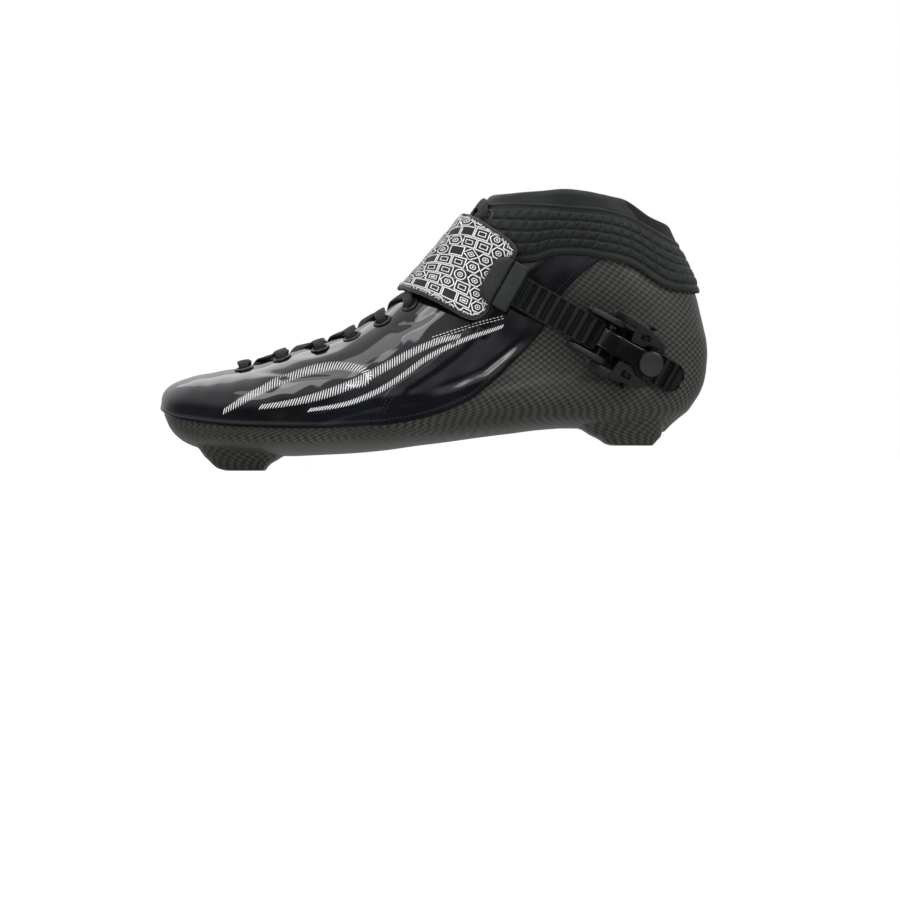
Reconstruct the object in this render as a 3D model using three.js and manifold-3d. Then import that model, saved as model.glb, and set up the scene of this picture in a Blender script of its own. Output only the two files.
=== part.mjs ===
// Low-cut carbon speed boot with a laced patent upper, a padded ankle collar and a ratchet instep strap (left boot).
// Units are millimetres. +X runs from toe to heel, -Y is the outer (lateral) side, +Z is up.
// The two mounting faces under the ball and the heel are horizontal, 195 mm apart, the rear one 12.6 mm higher.
import * as THREE from "three";
import { mergeVertices } from "three/addons/utils/BufferGeometryUtils.js";
import Module from "manifold-3d";

const wasm = await Module();
wasm.setup();

// ---------------------------------------------------------------- driving dimensions
const SHELL_T = 2.0; // carbon laminate
const PATENT_IN = 0.3, PATENT_OUT = 1.3; // patent upper, measured out from the shell's outer surface
const COLLAR_IN = 1.6, COLLAR_OUT = 2.7;
const PAD_IN = 5.0, PAD_OUT = 7.6; // instep strap pad
const BLOCK_W_FRONT = 21, BLOCK_W_REAR = 20; // half widths of the mounting faces
const FRONT_X = -94.6, REAR_X = 100.4; // mounting face centres, 195 apart
const REAR_Z = 12.6;
const THETA = Math.atan2(90, 161); // slope of the ladder strap, down towards the heel
const PIN_X = 85.67, PIN_Z = 65.43; // lever pin's foot on the ladder's centre line
const ARC_R = 200, ARC_S0 = 27.0, ARC_Y = -39.0; // ladder arc: radius, pin's distance past the apex, apex height (inner face)
const PITCH = 5.25; // ladder tooth pitch
const CENTRE = [0.54, -0.675]; // x and y of the box centre, taken off at the end

// ---------------------------------------------------------------- curves of the last
function pchip(P) {
  const n = P.length, x = P.map((p) => p[0]), y = P.map((p) => p[1]);
  const h = [], d = [], m = new Array(n);
  for (let i = 0; i < n - 1; i++) { h.push(x[i + 1] - x[i]); d.push((y[i + 1] - y[i]) / h[i]); }
  for (let i = 1; i < n - 1; i++) {
    if (d[i - 1] * d[i] <= 0) m[i] = 0;
    else { const a = 2 * h[i] + h[i - 1], b = h[i] + 2 * h[i - 1]; m[i] = (a + b) / (a / d[i - 1] + b / d[i]); }
  }
  m[0] = d[0]; m[n - 1] = d[n - 2];
  return (v) => {
    if (v <= x[0]) return y[0];
    if (v >= x[n - 1]) return y[n - 1];
    let i = 0;
    while (v > x[i + 1]) i++;
    const t = (v - x[i]) / h[i], t2 = t * t, t3 = t2 * t;
    return (2 * t3 - 3 * t2 + 1) * y[i] + (t3 - 2 * t2 + t) * h[i] * m[i] + (-2 * t3 + 3 * t2) * y[i + 1] + (t3 - t2) * h[i] * m[i + 1];
  };
}
const SOLE = [[-136.62, 33.14], [-136.27, 29.09], [-134.85, 25.05], [-132.82, 21.0], [-129.79, 17.46], [-125.74, 14.42], [-120.68, 12.14], [-114.61, 10.37], [-107.53, 8.86], [-97.41, 7.69], [-86.27, 7.24], [-72.11, 7.24], [-56.92, 7.84], [-41.74, 8.6], [-24.54, 10.12], [-8.35, 12.4], [7.84, 14.42], [24.04, 16.7], [40.23, 18.72], [54.4, 20.49], [67.05, 21.25], [79.7, 21.0], [89.81, 20.24], [99.94, 19.73], [110.06, 19.48], [139.2, 19.48]];
const TOP = [[-136.62, 33.15], [-136.11, 37.19], [-134.85, 39.72], [-132.32, 42.1], [-128.78, 43.97], [-124.73, 45.39], [-119.67, 46.91], [-111.57, 48.42], [-99.43, 50.35], [-86.27, 53.38], [-72.11, 58.44], [-56.92, 62.49], [-44.27, 67.3], [-31.62, 74.64], [-19.99, 82.2], [-11.38, 88.8], [-1.27, 99.4], [8.86, 111.4], [15.94, 119.9], [23.02, 128.6], [29.09, 136.37], [39.22, 148.0], [49.34, 159.14], [64.52, 176.34], [85.77, 200.12], [139.2, 200.2]];
const BACK = [[12.4, 110.06], [15.18, 113.09], [19.48, 117.14], [23.53, 121.19], [27.07, 125.23], [30.36, 129.28], [34.66, 132.32], [39.72, 135.35], [45.29, 137.38], [51.87, 138.64], [58.44, 139.0], [66.03, 138.54], [71.6, 137.38], [80.2, 135.35], [88.8, 133.08], [94.37, 130.8], [101.45, 127.26], [109.55, 123.72], [115.11, 121.19], [121.69, 118.15], [127.26, 115.62], [137.88, 111.07], [151.04, 105.0], [167.23, 97.41], [200.2, 84.75]];
const zSole = pchip(SOLE), zTop = pchip(TOP), xBack = pchip(BACK);
const X_TOE = -136.62, X_HEEL = 139.0;
const yMid = pchip([[-137, 9], [-120, 8], [-95, 4.5], [-70, 2], [-40, 1], [0, 0], [40, 0], [140, 0]]);
// half widths before the rounding at the edges: rows are [x, lateral values, medial values] at the heights HZ
const HZ = [10, 20, 36, 56, 76, 96, 117, 137];
const HW = [
  [-137, [36, 38, 38, 36, 36, 36, 36, 36], [34, 36, 36, 34, 34, 34, 34, 34]],
  [-118, [38, 41, 41, 39, 38, 38, 38, 38], [35, 38, 38, 37, 36, 36, 36, 36]],
  [-92, [42, 46, 46, 43, 42, 42, 42, 42], [39, 43, 43, 40, 39, 39, 39, 39]],
  [-68, [43, 47.5, 48, 45, 43, 42, 42, 42], [40, 44, 44, 42, 40, 38, 38, 38]],
  [-42, [42, 46, 47, 44, 40, 38, 36, 36], [38, 41.5, 42, 40, 37, 35, 34, 34]],
  [-16, [38, 41.5, 43.5, 40.5, 36, 33, 32, 32], [33, 36, 38, 37, 34, 32, 31, 31]],
  [9, [34, 37, 39, 36.5, 33, 31, 30, 30], [30, 32.5, 34, 33.5, 32, 31, 30, 30]],
  [34, [32, 35, 37, 34, 32, 31, 31, 30.5], [30, 32, 33.5, 32, 31.5, 31, 30.5, 30]],
  [60, [32, 35, 36.5, 32.4, 32.4, 33, 32, 31.5], [31, 33, 34.5, 32, 32, 33, 32, 31]],
  [85, [33, 35.5, 35.6, 32.4, 33, 34, 32.5, 31.5], [32, 34.5, 35, 32.4, 33, 34, 32.5, 31.5]],
  [110, [34, 34.6, 33.8, 32, 33, 33, 31.5, 30.5], [33, 34.5, 34.5, 33, 33, 33, 31.5, 30.5]],
  [140, [34, 34.6, 33.8, 32, 33, 33, 31.5, 30.5], [33, 34.5, 34.5, 33, 33, 33, 31.5, 30.5]],
];
const halfCols = [1, 2].map((c) => HW.map((r) => [r[0], pchip(HZ.map((z, i) => [z, r[c][i]]))]));
function baseWidth(x, z, side) {
  const cols = halfCols[side < 0 ? 0 : 1];
  return pchip(cols.map(([cx, f]) => [cx, f(z)]))(x);
}
const rhoTop = pchip([[-137, 9], [-125, 13], [-105, 19], [-80, 24], [-50, 29], [-20, 36], [10, 44], [30, 46], [140, 46]]);
const rhoSole = pchip([[-137, 7], [-125, 9], [-105, 12], [-70, 14], [0, 15], [60, 16], [140, 16]]);
const rhoBack = pchip([[12, 30], [30, 44], [58, 60], [90, 52], [120, 44], [200, 42]]);
const RHO_TOE = 42;
const round = (q, p = 2) => (q >= 1 ? 1 : q <= 0 ? 0 : Math.pow(1 - Math.pow(1 - q, p), 1 / p));
function halfWidth(x, z, side) {
  return baseWidth(x, z, side) * round((zTop(x) - z) / rhoTop(x), 2.1) * round((z - zSole(x)) / rhoSole(x), 2.3) *
    round((xBack(z) - x) / rhoBack(z), 2.1) * round((x - X_TOE) / RHO_TOE, 2.2);
}
function zLimits(x) {
  let lo = zSole(x), hi = zTop(x);
  const bis = (a, b) => { // a outside, b inside the heel line
    for (let i = 0; i < 50; i++) { const m = (a + b) / 2; if (xBack(m) > x) b = m; else a = m; }
    return (a + b) / 2;
  };
  if (xBack(lo) < x) lo = bis(lo, 58.44);
  if (xBack(hi) < x) hi = bis(hi, 58.44);
  return [lo, hi];
}
const inside = (x, y, z) => {
  const s = y < yMid(x) ? -1 : 1;
  if (x <= X_TOE || x >= X_HEEL) return false;
  const [lo, hi] = zLimits(x);
  return z > lo && z < hi && Math.abs(y - yMid(x)) < halfWidth(x, z, s);
};

// ---------------------------------------------------------------- meshes of the last
const N_X = 28, N_S = 9;
const grid = (() => {
  const rings = [];
  for (let i = 0; i <= N_X; i++) {
    const t = i / N_X, u = 0.45 * t + 0.55 * (1 - Math.cos(Math.PI * t)) / 2;
    const e = i === 0 || i === N_X;
    const eps = 0.35;
    const x = i === 0 ? X_TOE : i === N_X ? X_HEEL : X_TOE + eps + (X_HEEL - X_TOE - 2 * eps) * u;
    if (e) { rings.push([new THREE.Vector3(x, yMid(x), i ? 58.44 : 33.14)]); continue; }
    const [lo, hi] = zLimits(x);
    const pl = [];
    for (let k = 0; k <= 90; k++) { const z = lo + (hi - lo) * (1 - Math.cos(Math.PI * k / 90)) / 2; pl.push([k === 0 || k === 90 ? 0 : halfWidth(x, z, -1), z]); }
    const L = [0];
    for (let k = 1; k <= 90; k++) L.push(L[k - 1] + Math.hypot(pl[k][0] - pl[k - 1][0], pl[k][1] - pl[k - 1][1]));
    const zs = [];
    for (let j = 0; j <= N_S; j++) {
      const a = L[90] * j / N_S; let k = 0;
      while (k < 89 && L[k + 1] < a) k++;
      const f = (a - L[k]) / (L[k + 1] - L[k]);
      zs.push(pl[k][1] + (pl[k + 1][1] - pl[k][1]) * f);
    }
    const ring = [];
    for (let j = 0; j <= N_S; j++) ring.push(new THREE.Vector3(x, yMid(x) - (j % N_S ? halfWidth(x, zs[j], -1) : 0), zs[j]));
    for (let j = N_S - 1; j > 0; j--) ring.push(new THREE.Vector3(x, yMid(x) + halfWidth(x, zs[j], 1), zs[j]));
    rings.push(ring);
  }
  return rings;
})();
function bodyGeometry(off) { // off: number or function of (x, y, z)
  const M = 2 * N_S, pos = [], idx = [], start = [];
  for (const r of grid) { start.push(pos.length / 3); for (const p of r) pos.push(p.x, p.y, p.z); }
  for (let i = 0; i < N_X; i++) {
    for (let j = 0; j < M; j++) {
      const k = (j + 1) % M;
      if (i === 0) idx.push(start[0], start[1] + k, start[1] + j);
      else if (i === N_X - 1) idx.push(start[i] + j, start[i] + k, start[i + 1]);
      else { const a = start[i] + j, b = start[i] + k, c = start[i + 1] + j, d = start[i + 1] + k; idx.push(a, b, c, b, d, c); }
    }
  }
  const g = new THREE.BufferGeometry();
  g.setAttribute("position", new THREE.BufferAttribute(new Float32Array(pos), 3));
  g.setIndex(idx);
  g.computeVertexNormals();
  const P = g.attributes.position, N = g.attributes.normal;
  let sgn = 1; // make the normals point out
  { const v = new THREE.Vector3().fromBufferAttribute(N, start[N_X]); if (v.x < 0) sgn = -1; }
  if (sgn < 0) { const a = g.index.array; for (let i = 0; i < a.length; i += 3) { const t = a[i + 1]; a[i + 1] = a[i + 2]; a[i + 2] = t; } }
  for (let i = 0; i < P.count; i++) {
    const o = (typeof off === "function" ? off(P.getX(i), P.getY(i), P.getZ(i)) : off) * sgn;
    P.setXYZ(i, P.getX(i) + N.getX(i) * o, P.getY(i) + N.getY(i) * o, P.getZ(i) + N.getZ(i) * o);
  }
  g.deleteAttribute("normal");
  return g;
}
function solid(g, matrix) {
  let q = g.clone();
  if (matrix) q.applyMatrix4(matrix);
  for (const a of Object.keys(q.attributes)) if (a !== "position") q.deleteAttribute(a);
  if (!q.index) q = mergeVertices(q, 1e-4); else q = mergeVertices(q.toNonIndexed(), 1e-4);
  const v = new Float32Array(q.attributes.position.array), tri = new Uint32Array(q.index.array);
  const m = new wasm.Manifold(new wasm.Mesh({ numProp: 3, vertProperties: v, triVerts: tri }));
  if (m.volume() >= 0) return m;
  for (let i = 0; i < tri.length; i += 3) { const t = tri[i + 1]; tri[i + 1] = tri[i + 2]; tri[i + 2] = t; } // profile drawn the other way round
  return new wasm.Manifold(new wasm.Mesh({ numProp: 3, vertProperties: v, triVerts: tri }));
}
function geometry(m) {
  const q = m.getMesh(), n = q.numProp, v = new Float32Array(q.numVert * 3);
  for (let i = 0; i < q.numVert; i++) for (let c = 0; c < 3; c++) v[i * 3 + c] = q.vertProperties[i * n + c];
  return new THREE.BufferGeometry().setAttribute("position", new THREE.BufferAttribute(v, 3)).setIndex(new THREE.BufferAttribute(new Uint32Array(q.triVerts), 1));
}
const cache = new Map();
const body = (off) => { if (!cache.has(off)) cache.set(off, solid(bodyGeometry(off))); return cache.get(off); };
const slab = (outer, inner) => body(outer).subtract(body(inner));
const biggest = (m) => m.decompose().sort((a, b) => b.volume() - a.volume())[0];
// a prism across the boot, from its outline in the side view
function prismXZ(pts, y0 = -90, y1 = 90) {
  const g = new THREE.ExtrudeGeometry(new THREE.Shape(pts.map((p) => new THREE.Vector2(p[0], p[1]))), { depth: y1 - y0, bevelEnabled: false });
  return solid(g, new THREE.Matrix4().makeTranslation(0, y1, 0).multiply(new THREE.Matrix4().makeRotationX(Math.PI / 2)));
}
function prismXY(pts, z0, z1) {
  const g = new THREE.ExtrudeGeometry(new THREE.Shape(pts.map((p) => new THREE.Vector2(p[0], p[1]))), { depth: z1 - z0, bevelEnabled: false });
  return solid(g, new THREE.Matrix4().makeTranslation(0, 0, z0));
}
const shift = (P, d) => P.map((p, i) => { // moves a curve to its left by d
  const a = P[Math.max(0, i - 1)], b = P[Math.min(P.length - 1, i + 1)], l = Math.hypot(b[0] - a[0], b[1] - a[1]);
  return [p[0] - (b[1] - a[1]) / l * d, p[1] + (b[0] - a[0]) / l * d];
});

// ---------------------------------------------------------------- panel edges in the side view
const SHELL_EDGE = [[-142, 33.65], [-136.37, 31.12], [-132.82, 28.84], [-127.77, 26.57], [-117.64, 24.79], [-107.53, 23.53], [-97.41, 22.62], [-87.28, 22.26], [-72.11, 21.86], [-56.92, 21.86], [-41.74, 22.52], [-26.57, 23.38], [-16.45, 24.54], [-6.33, 26.57], [3.79, 29.6], [11.38, 32.64], [18.98, 36.43], [24.04, 39.97], [29.09, 44.27], [34.16, 49.08], [39.22, 54.14], [44.27, 59.2], [49.34, 64.26], [53.38, 69.07], [57.94, 77.17], [62.49, 85.77], [67.55, 91.84], [72.61, 97.15], [77.67, 101.45], [83.74, 105.5], [90.83, 108.54], [99.94, 108.54]];
const COLLAR_LOW = [[16, 124], [22, 114], [27.07, 109], [34.16, 105.5], [42.25, 104.24], [50.85, 104.74], [58.44, 107.27], [66.03, 108.03], [77.17, 107.53], [84.75, 106.01], [92.34, 104.64], [98.92, 102.36], [105.0, 98.82], [111.07, 94.62], [116.63, 91.59], [122.7, 90.17], [142, 89.4]];
const COLLAR_UP = [[10, 132.7], [26.57, 132.93], [34.16, 133.08], [44.27, 133.33], [54.4, 133.08], [64.52, 132.57], [74.64, 131.81], [84.75, 130.65], [90.83, 129.28], [95.89, 127.51], [100.95, 125.23], [106.01, 122.45], [111.07, 119.42], [116.13, 116.63], [123.21, 113.34], [142, 105.5]];
const RIM = [[10, 134.5], [21.0, 136.6], [24.04, 138.49], [26.06, 138.9], [39.22, 139.3], [54.4, 140.16], [64.52, 140.92], [76.66, 139.91], [84.75, 138.39], [90.83, 137.13], [94.88, 136.37], [110.06, 127.26], [118.15, 124.48], [142, 118]];
const MESH_LINE = [[94.88, 142], [94.88, 136.37], [96.9, 131.81], [99.94, 128.27], [103.5, 122]];
const SEAM = [[26, 80.6], [23.02, 77.17], [14.93, 68.06], [3.79, 57.43], [-6.33, 49.84], [-16.45, 43.26], [-20.49, 40.48], [-24.54, 35.67], [-27.58, 29.6], [-29.6, 23.53], [-30.61, 10]];

const THROAT = pchip([[-101, 0.6], [-99, 3], [-92, 6], [-75, 8.5], [-45, 9.5], [-10, 9.5], [20, 8.2], [60, 8]]);
function throatOutline(grow, x0 = -101, x1 = 45) {
  const a = [], b = [];
  for (let i = 0; i <= 16; i++) { const x = x0 - grow + (x1 - x0 + grow) * i / 16; const h = THROAT(Math.max(-101, x)) + grow; a.push([x, yMid(x) - h]); b.unshift([x, yMid(x) + h]); }
  return a.concat(b);
}

const group = new THREE.Group();
const MAT = {
  carbon: [0x2a2b29, 0.35, 0.0], patent: [0x0b0c10, 0.08, 0.0], collar: [0x1b1c1c, 0.75, 0.0], band: [0x1d1e1e, 0.6, 0.0], mesh: [0x141414, 0.9, 0.0],
  lining: [0x151515, 0.9, 0.0], foam: [0x303030, 0.95, 0.0], tongue: [0x141414, 0.85, 0.0], lace: [0x131313, 0.9, 0.0], eyelet: [0x202122, 0.4, 0.6],
  strap: [0x9a9a9a, 0.8, 0.0], plastic: [0x1c1d1d, 0.5, 0.0], gloss: [0x101111, 0.3, 0.0], steel: [0x8a8c8e, 0.35, 1.0], alu: [0x9b9d9f, 0.4, 1.0], aglet: [0x0c0c0c, 0.3, 0.0],
};
function add(name, what, mat) {
  const g = what.isBufferGeometry ? what : geometry(what);
  const [c, r, m] = MAT[mat];
  const mesh = new THREE.Mesh(g, new THREE.MeshStandardMaterial({ color: c, roughness: r, metalness: m }));
  mesh.name = name;
  group.add(mesh);
  return mesh;
}

// ---------------------------------------------------------------- frames on the surface
function normalAt(x, y, z) {
  const F = (a, b, c) => Math.abs(b - yMid(a)) - halfWidth(a, c, b < yMid(a) ? -1 : 1), e = 0.4;
  return new THREE.Vector3(F(x + e, y, z) - F(x - e, y, z), F(x, y + e, z) - F(x, y - e, z), F(x, y, z + e) - F(x, y, z - e)).normalize();
}
function onTop(x, y) { // the point of the upper surface over (x, y)
  const s = y < yMid(x) ? -1 : 1; let a = zTop(x), b = Math.max(zSole(x) + rhoSole(x), zTop(x) - rhoTop(x));
  for (let i = 0; i < 50; i++) { const m = (a + b) / 2; if (halfWidth(x, m, s) > Math.abs(y - yMid(x))) b = m; else a = m; }
  const p = new THREE.Vector3(x, y, (a + b) / 2);
  const n = Math.abs(y - yMid(x)) < 1.5 ? topNormal(x) : normalAt(x, y, p.z);
  return { p, n };
}
function topNormal(x) { const t = new THREE.Vector3(1, 0, (zTop(x + 1) - zTop(x - 1)) / 2).normalize(); return new THREE.Vector3(-t.z, 0, t.x); }
const frameOn = (p, n, xref) => { // matrix whose z axis is n and x axis is nearest to xref
  const x = xref.clone().addScaledVector(n, -xref.dot(n)).normalize(), y = new THREE.Vector3().crossVectors(n, x);
  return new THREE.Matrix4().makeBasis(x, y, n).setPosition(p);
};
const AX = new THREE.Vector3(1, 0, 0);
const lathe = (pts, seg = 16) => new THREE.LatheGeometry(pts.map((p) => new THREE.Vector2(p[0], p[1])), seg).applyMatrix4(new THREE.Matrix4().makeRotationX(Math.PI / 2)); // axis on z
const cyl = (r, z0, z1, seg = 14) => lathe([[0, z0], [r, z0], [r, z1], [0, z1]], seg);
const box = (x0, x1, y0, y1, z0, z1) => new THREE.BoxGeometry(x1 - x0, y1 - y0, z1 - z0).translate((x0 + x1) / 2, (y0 + y1) / 2, (z0 + z1) / 2);

// ---------------------------------------------------------------- eyelets
const ROWS = [-94.5, -75, -56, -39.7, -24.5, -10.5, 2.8, 16.0, 28.6];
const eyelets = [];
ROWS.forEach((x, i) => {
  for (const side of [-1, 1]) {
    const h = THROAT(x) + (i === 8 ? 12.0 : 11.4);
    const top = i === 8;
    const { p, n } = onTop(x, yMid(x) + side * h);
    eyelets.push({ row: i, side, x, y: yMid(x) + side * h, p, n, lift: top ? COLLAR_OUT - PATENT_OUT : 0, m: frameOn(p, n, AX) });
  }
});
const eyeletHole = (e, r) => solid(cyl(r, -3, 6, 10), e.m);
const withHoles = (m, r = 3.5) => eyelets.reduce((a, e) => a.subtract(eyeletHole(e, r)), m);

// ---------------------------------------------------------------- shell with its two mounting blocks
function blockSolid(side) { // lofted block that widens upwards into the sole
  const front = side < 0;
  const sil = front // silhouette in the side view
    ? [[-122.7, 14.6], [-117.64, 8.86], [-113.59, 5.82], [-110.55, 2.78], [-107.53, 0.76], [-104.2, 0], [-85.1, 0], [-83.24, 2.3], [-80.21, 4.55], [-77.17, 5.8], [-72.11, 7.4], [-68, 16], [-120, 18]]
    : [[70, 21.3], [80.71, 17.46], [84.75, 15.43], [87.79, 13.4], [90.83, REAR_Z], [110.7, REAR_Z], [113.09, 15.0], [116.8, 19.1], [114, 32], [76, 30]];
  const w0 = front ? BLOCK_W_FRONT : BLOCK_W_REAR, z0 = front ? 0 : REAR_Z;
  const yc = front ? yMid(FRONT_X) : 0;
  // cross-section: narrow at the face, widening in a curve to the sole
  const sec = [[w0 - 1.2, z0 - 1], [w0 - 1.2, z0], [w0, z0 + 1.4], [w0 + 0.8, z0 + 4], [w0 + 2.2, z0 + 6.5], [w0 + 4.5, z0 + 8.6], [w0 + 6.5, z0 + 11.5], [w0 + 2, z0 + 20]];
  const pts = sec.map((p) => [p[0] + yc, p[1]]).concat(sec.slice().reverse().map((p) => [-p[0] + yc, p[1]]));
  const g = new THREE.ExtrudeGeometry(new THREE.Shape(pts.map((p) => new THREE.Vector2(p[0], p[1]))), { depth: 90, bevelEnabled: false });
  // shape (y, z) extruded along x
  const m = new THREE.Matrix4().makeBasis(new THREE.Vector3(0, 1, 0), new THREE.Vector3(0, 0, 1), new THREE.Vector3(1, 0, 0)).setPosition(front ? -140 : 55, 0, 0);
  return solid(g, m).intersect(prismXZ(sil)).intersect(body(0).add(prismXZ(front ? [[-125, -2], [-60, -2], [-60, 12.5], [-125, 12.5]] : [[60, 5], [125, 5], [125, 24], [60, 24]])));
}
const shellRegion = shift(SHELL_EDGE, 3.5).concat([[150, 108.5], [150, -10], [-150, -10], [-150, 37]]);
const shellTopClip = COLLAR_LOW.slice(9).map(([x, z]) => [x, z + 5]); // the laminate ends just under the collar
const shellPrism = prismXZ(shellRegion).intersect(prismXZ([[-150, -10], [150, -10], [150, 94.5], ...shellTopClip.slice().reverse(), [70, 112], [-150, 112]]));
let shell = body(0).add(blockSolid(-1)).add(blockSolid(1)).subtract(body(-SHELL_T)).intersect(shellPrism);

// aluminium mount inserts, moulded into the blocks with their faces flush
function insert(x, z, w) {
  const yc = x < 0 ? yMid(x) : 0;
  const plate = (g) => solid(box(x - 6.5 - g, x + 6.5 + g, yc - w - g, yc + w + g, z - (g ? 1 : 0), z + 6 + g));
  const hole = solid(cyl(3, -2, 5.2, 14).translate(x, yc, z));
  return [plate(0).subtract(hole), plate(0.3)];
}
const [frontInsert, frontPocket] = insert(FRONT_X, 0, 14), [rearInsert, rearPocket] = insert(REAR_X, REAR_Z, 13);
shell = shell.subtract(frontPocket).subtract(rearPocket);

// ---------------------------------------------------------------- buckle frame
const D = new THREE.Vector3(Math.cos(THETA), 0, -Math.sin(THETA)), H = new THREE.Vector3(Math.sin(THETA), 0, Math.cos(THETA)), O = new THREE.Vector3(0, -1, 0);
const APEX = new THREE.Vector3(PIN_X, 0, PIN_Z).addScaledVector(D, -ARC_S0); // the arc's axis passes here, along H
const ARC_AXIS = new THREE.Vector3(APEX.x, ARC_Y + ARC_R, APEX.z);
const arc = (s, h, o) => { const f = (s + ARC_S0) / ARC_R; return ARC_AXIS.clone().addScaledVector(D, (ARC_R + o) * Math.sin(f)).addScaledVector(O, (ARC_R + o) * Math.cos(f)).addScaledVector(H, h); };
// s is measured from the lever pin along the ladder, h across it, o outwards from the ladder's inner face
function bend(g) {
  const P = g.attributes.position;
  for (let i = 0; i < P.count; i++) { const v = arc(P.getX(i), P.getY(i), P.getZ(i)); P.setXYZ(i, v.x, v.y, v.z); }
  return g;
}
const bendSolid = (m) => solid(bend(geometry(m)));
function tangent(s) { const f = (s + ARC_S0) / ARC_R; const d = D.clone().multiplyScalar(Math.cos(f)).addScaledVector(O, -Math.sin(f)), o = O.clone().multiplyScalar(Math.cos(f)).addScaledVector(D, Math.sin(f)); return new THREE.Matrix4().makeBasis(d, H, o).setPosition(arc(s, 0, 0)); }
const FLAT = tangent(0); // rigid buckle pieces are drawn flat in this frame
const surfaceO = (s, h) => { let a = -25, b = 8; for (let i = 0; i < 45; i++) { const m = (a + b) / 2, v = arc(s, h, m); if (inside(v.x, v.y, v.z)) a = m; else b = m; } return (a + b) / 2; };
// shape in (s, o) extruded across h, and shape in (s, h) extruded along o
const sideExtrude = (pts, h0, h1) => solid(new THREE.ExtrudeGeometry(new THREE.Shape(pts.map((p) => new THREE.Vector2(p[0], p[1]))), { depth: h1 - h0, bevelEnabled: false }), new THREE.Matrix4().makeTranslation(0, h1, 0).multiply(new THREE.Matrix4().makeRotationX(Math.PI / 2)));
const planExtrude = (pts, o0, o1) => solid(new THREE.ExtrudeGeometry(new THREE.Shape(pts.map((p) => new THREE.Vector2(p[0], p[1]))), { depth: o1 - o0, bevelEnabled: false }), new THREE.Matrix4().makeTranslation(0, 0, o0));
const across = (r, h0, h1, s, o, seg = 12) => solid(cyl(r, h0, h1, seg), new THREE.Matrix4().makeTranslation(s, 0, o).multiply(new THREE.Matrix4().makeRotationX(-Math.PI / 2)));
const circle = (cx, cy, r, a0, a1, n) => Array.from({ length: n + 1 }, (_, i) => { const a = (a0 + (a1 - a0) * i / n) * Math.PI / 180; return [cx + r * Math.cos(a), cy + r * Math.sin(a)]; });

// a strip along the ladder, given as columns [s, lowest o, highest o], between h0 and h1, bent to the arc
function columns(cols, h0, h1) {
  const pos = [], idx = [], n = cols.length;
  for (const [s, a, b] of cols) for (const [h, o] of [[h0, a], [h1, a], [h1, b], [h0, b]]) { const v = arc(s, h, o); pos.push(v.x, v.y, v.z); }
  for (let i = 0; i < n - 1; i++) for (let j = 0; j < 4; j++) { const k = (j + 1) % 4, p = i * 4; idx.push(p + j, p + 4 + j, p + k, p + k, p + 4 + j, p + 4 + k); }
  const e = (n - 1) * 4;
  idx.push(0, 1, 2, 0, 2, 3, e, e + 2, e + 1, e, e + 3, e + 2);
  const g = new THREE.BufferGeometry().setAttribute("position", new THREE.BufferAttribute(new Float32Array(pos), 3));
  g.setIndex(idx);
  return solid(g);
}
const bentPlan = (pts, lo = -22, hi = 26) => bendSolid(planExtrude(pts, lo, hi));

// ladder strap
const CAP_END = -49, TIP = 45.5;
const ladderCols = [[CAP_END - 9, 0, 3.2], [CAP_END, 0, 3.2], [CAP_END + 5.4, 0, 3.2], [CAP_END + 6, 0, 2.0]];
for (let k = 16; k >= 0; k--) { const s = TIP - 5.4 - k * PITCH; if (s - 3 > CAP_END + 6.5) ladderCols.push([s - 3, 0, 2], [s - 2.5, 0, 3.1], [s - 0.6, 0, 3.1], [s - 0.1, 0, 2]); }
ladderCols.push([TIP - 2.6, 0, 2.0], [TIP, 0, 1.4]);
const ladderPlan = [[CAP_END - 9, -8], [TIP - 7, -8], ...circle(TIP - 7, -1, 7, -90, 0, 4), ...circle(TIP - 7, 1, 7, 0, 90, 4), [CAP_END - 9, 8]];
const ladder = columns(ladderCols, -9, 9).intersect(bentPlan(ladderPlan));

// buckle base: plate, ears for the lever pin, rear ears for the latch pin
const PIN_O = 8.2, LATCH_S = 17.5, LATCH_O = 6.2;
const rearEar = [[LATCH_S - 5, -1], ...circle(LATCH_S, LATCH_O, 3.3, 180, 0, 8), [LATCH_S + 5, -1]];
const frontEar = [[-13, -1], [-13, 3.6], [-6, 8.5], ...circle(0, PIN_O, 4.2, 150, 20, 7), [6, 3.5], [6.5, -1]];
const platePlan = [[-15, -10.2], [-13.6, -11.6], [26, -11.6], ...circle(26, -5.8, 5.8, -90, 0, 4).slice(1), ...circle(26, 5.8, 5.8, 0, 90, 4).slice(0, -1), [26, 11.6], [-13.6, 11.6], [-15, 10.2]];
const plateCols = [-15, -10, -5, 0, 5, 10, 15, 20, 25, 31.9];
let base = columns(plateCols.map((q) => [q, -14, -0.4]), -13, 13).intersect(bentPlan(platePlan));
const ears = [];
for (const sg of [-1, 1]) {
  const [a, b] = sg < 0 ? [-11.6, -8.8] : [8.8, 11.6];
  ears.push(sideExtrude(frontEar, a, b).add(sideExtrude(rearEar, a, b)));
}
base = base.add(solid(geometry(ears[0].add(ears[1])), FLAT).intersect(columns([-16, ...plateCols, 33].map((q) => [q, -0.9, 22]), -14, 14)));
base = base.subtract(solid(geometry(across(1.8, -20, 20, 0, PIN_O)), FLAT)).subtract(solid(geometry(across(1.5, -20, 20, LATCH_S, LATCH_O)), FLAT));
base = base.subtract(body(0.3));

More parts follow.
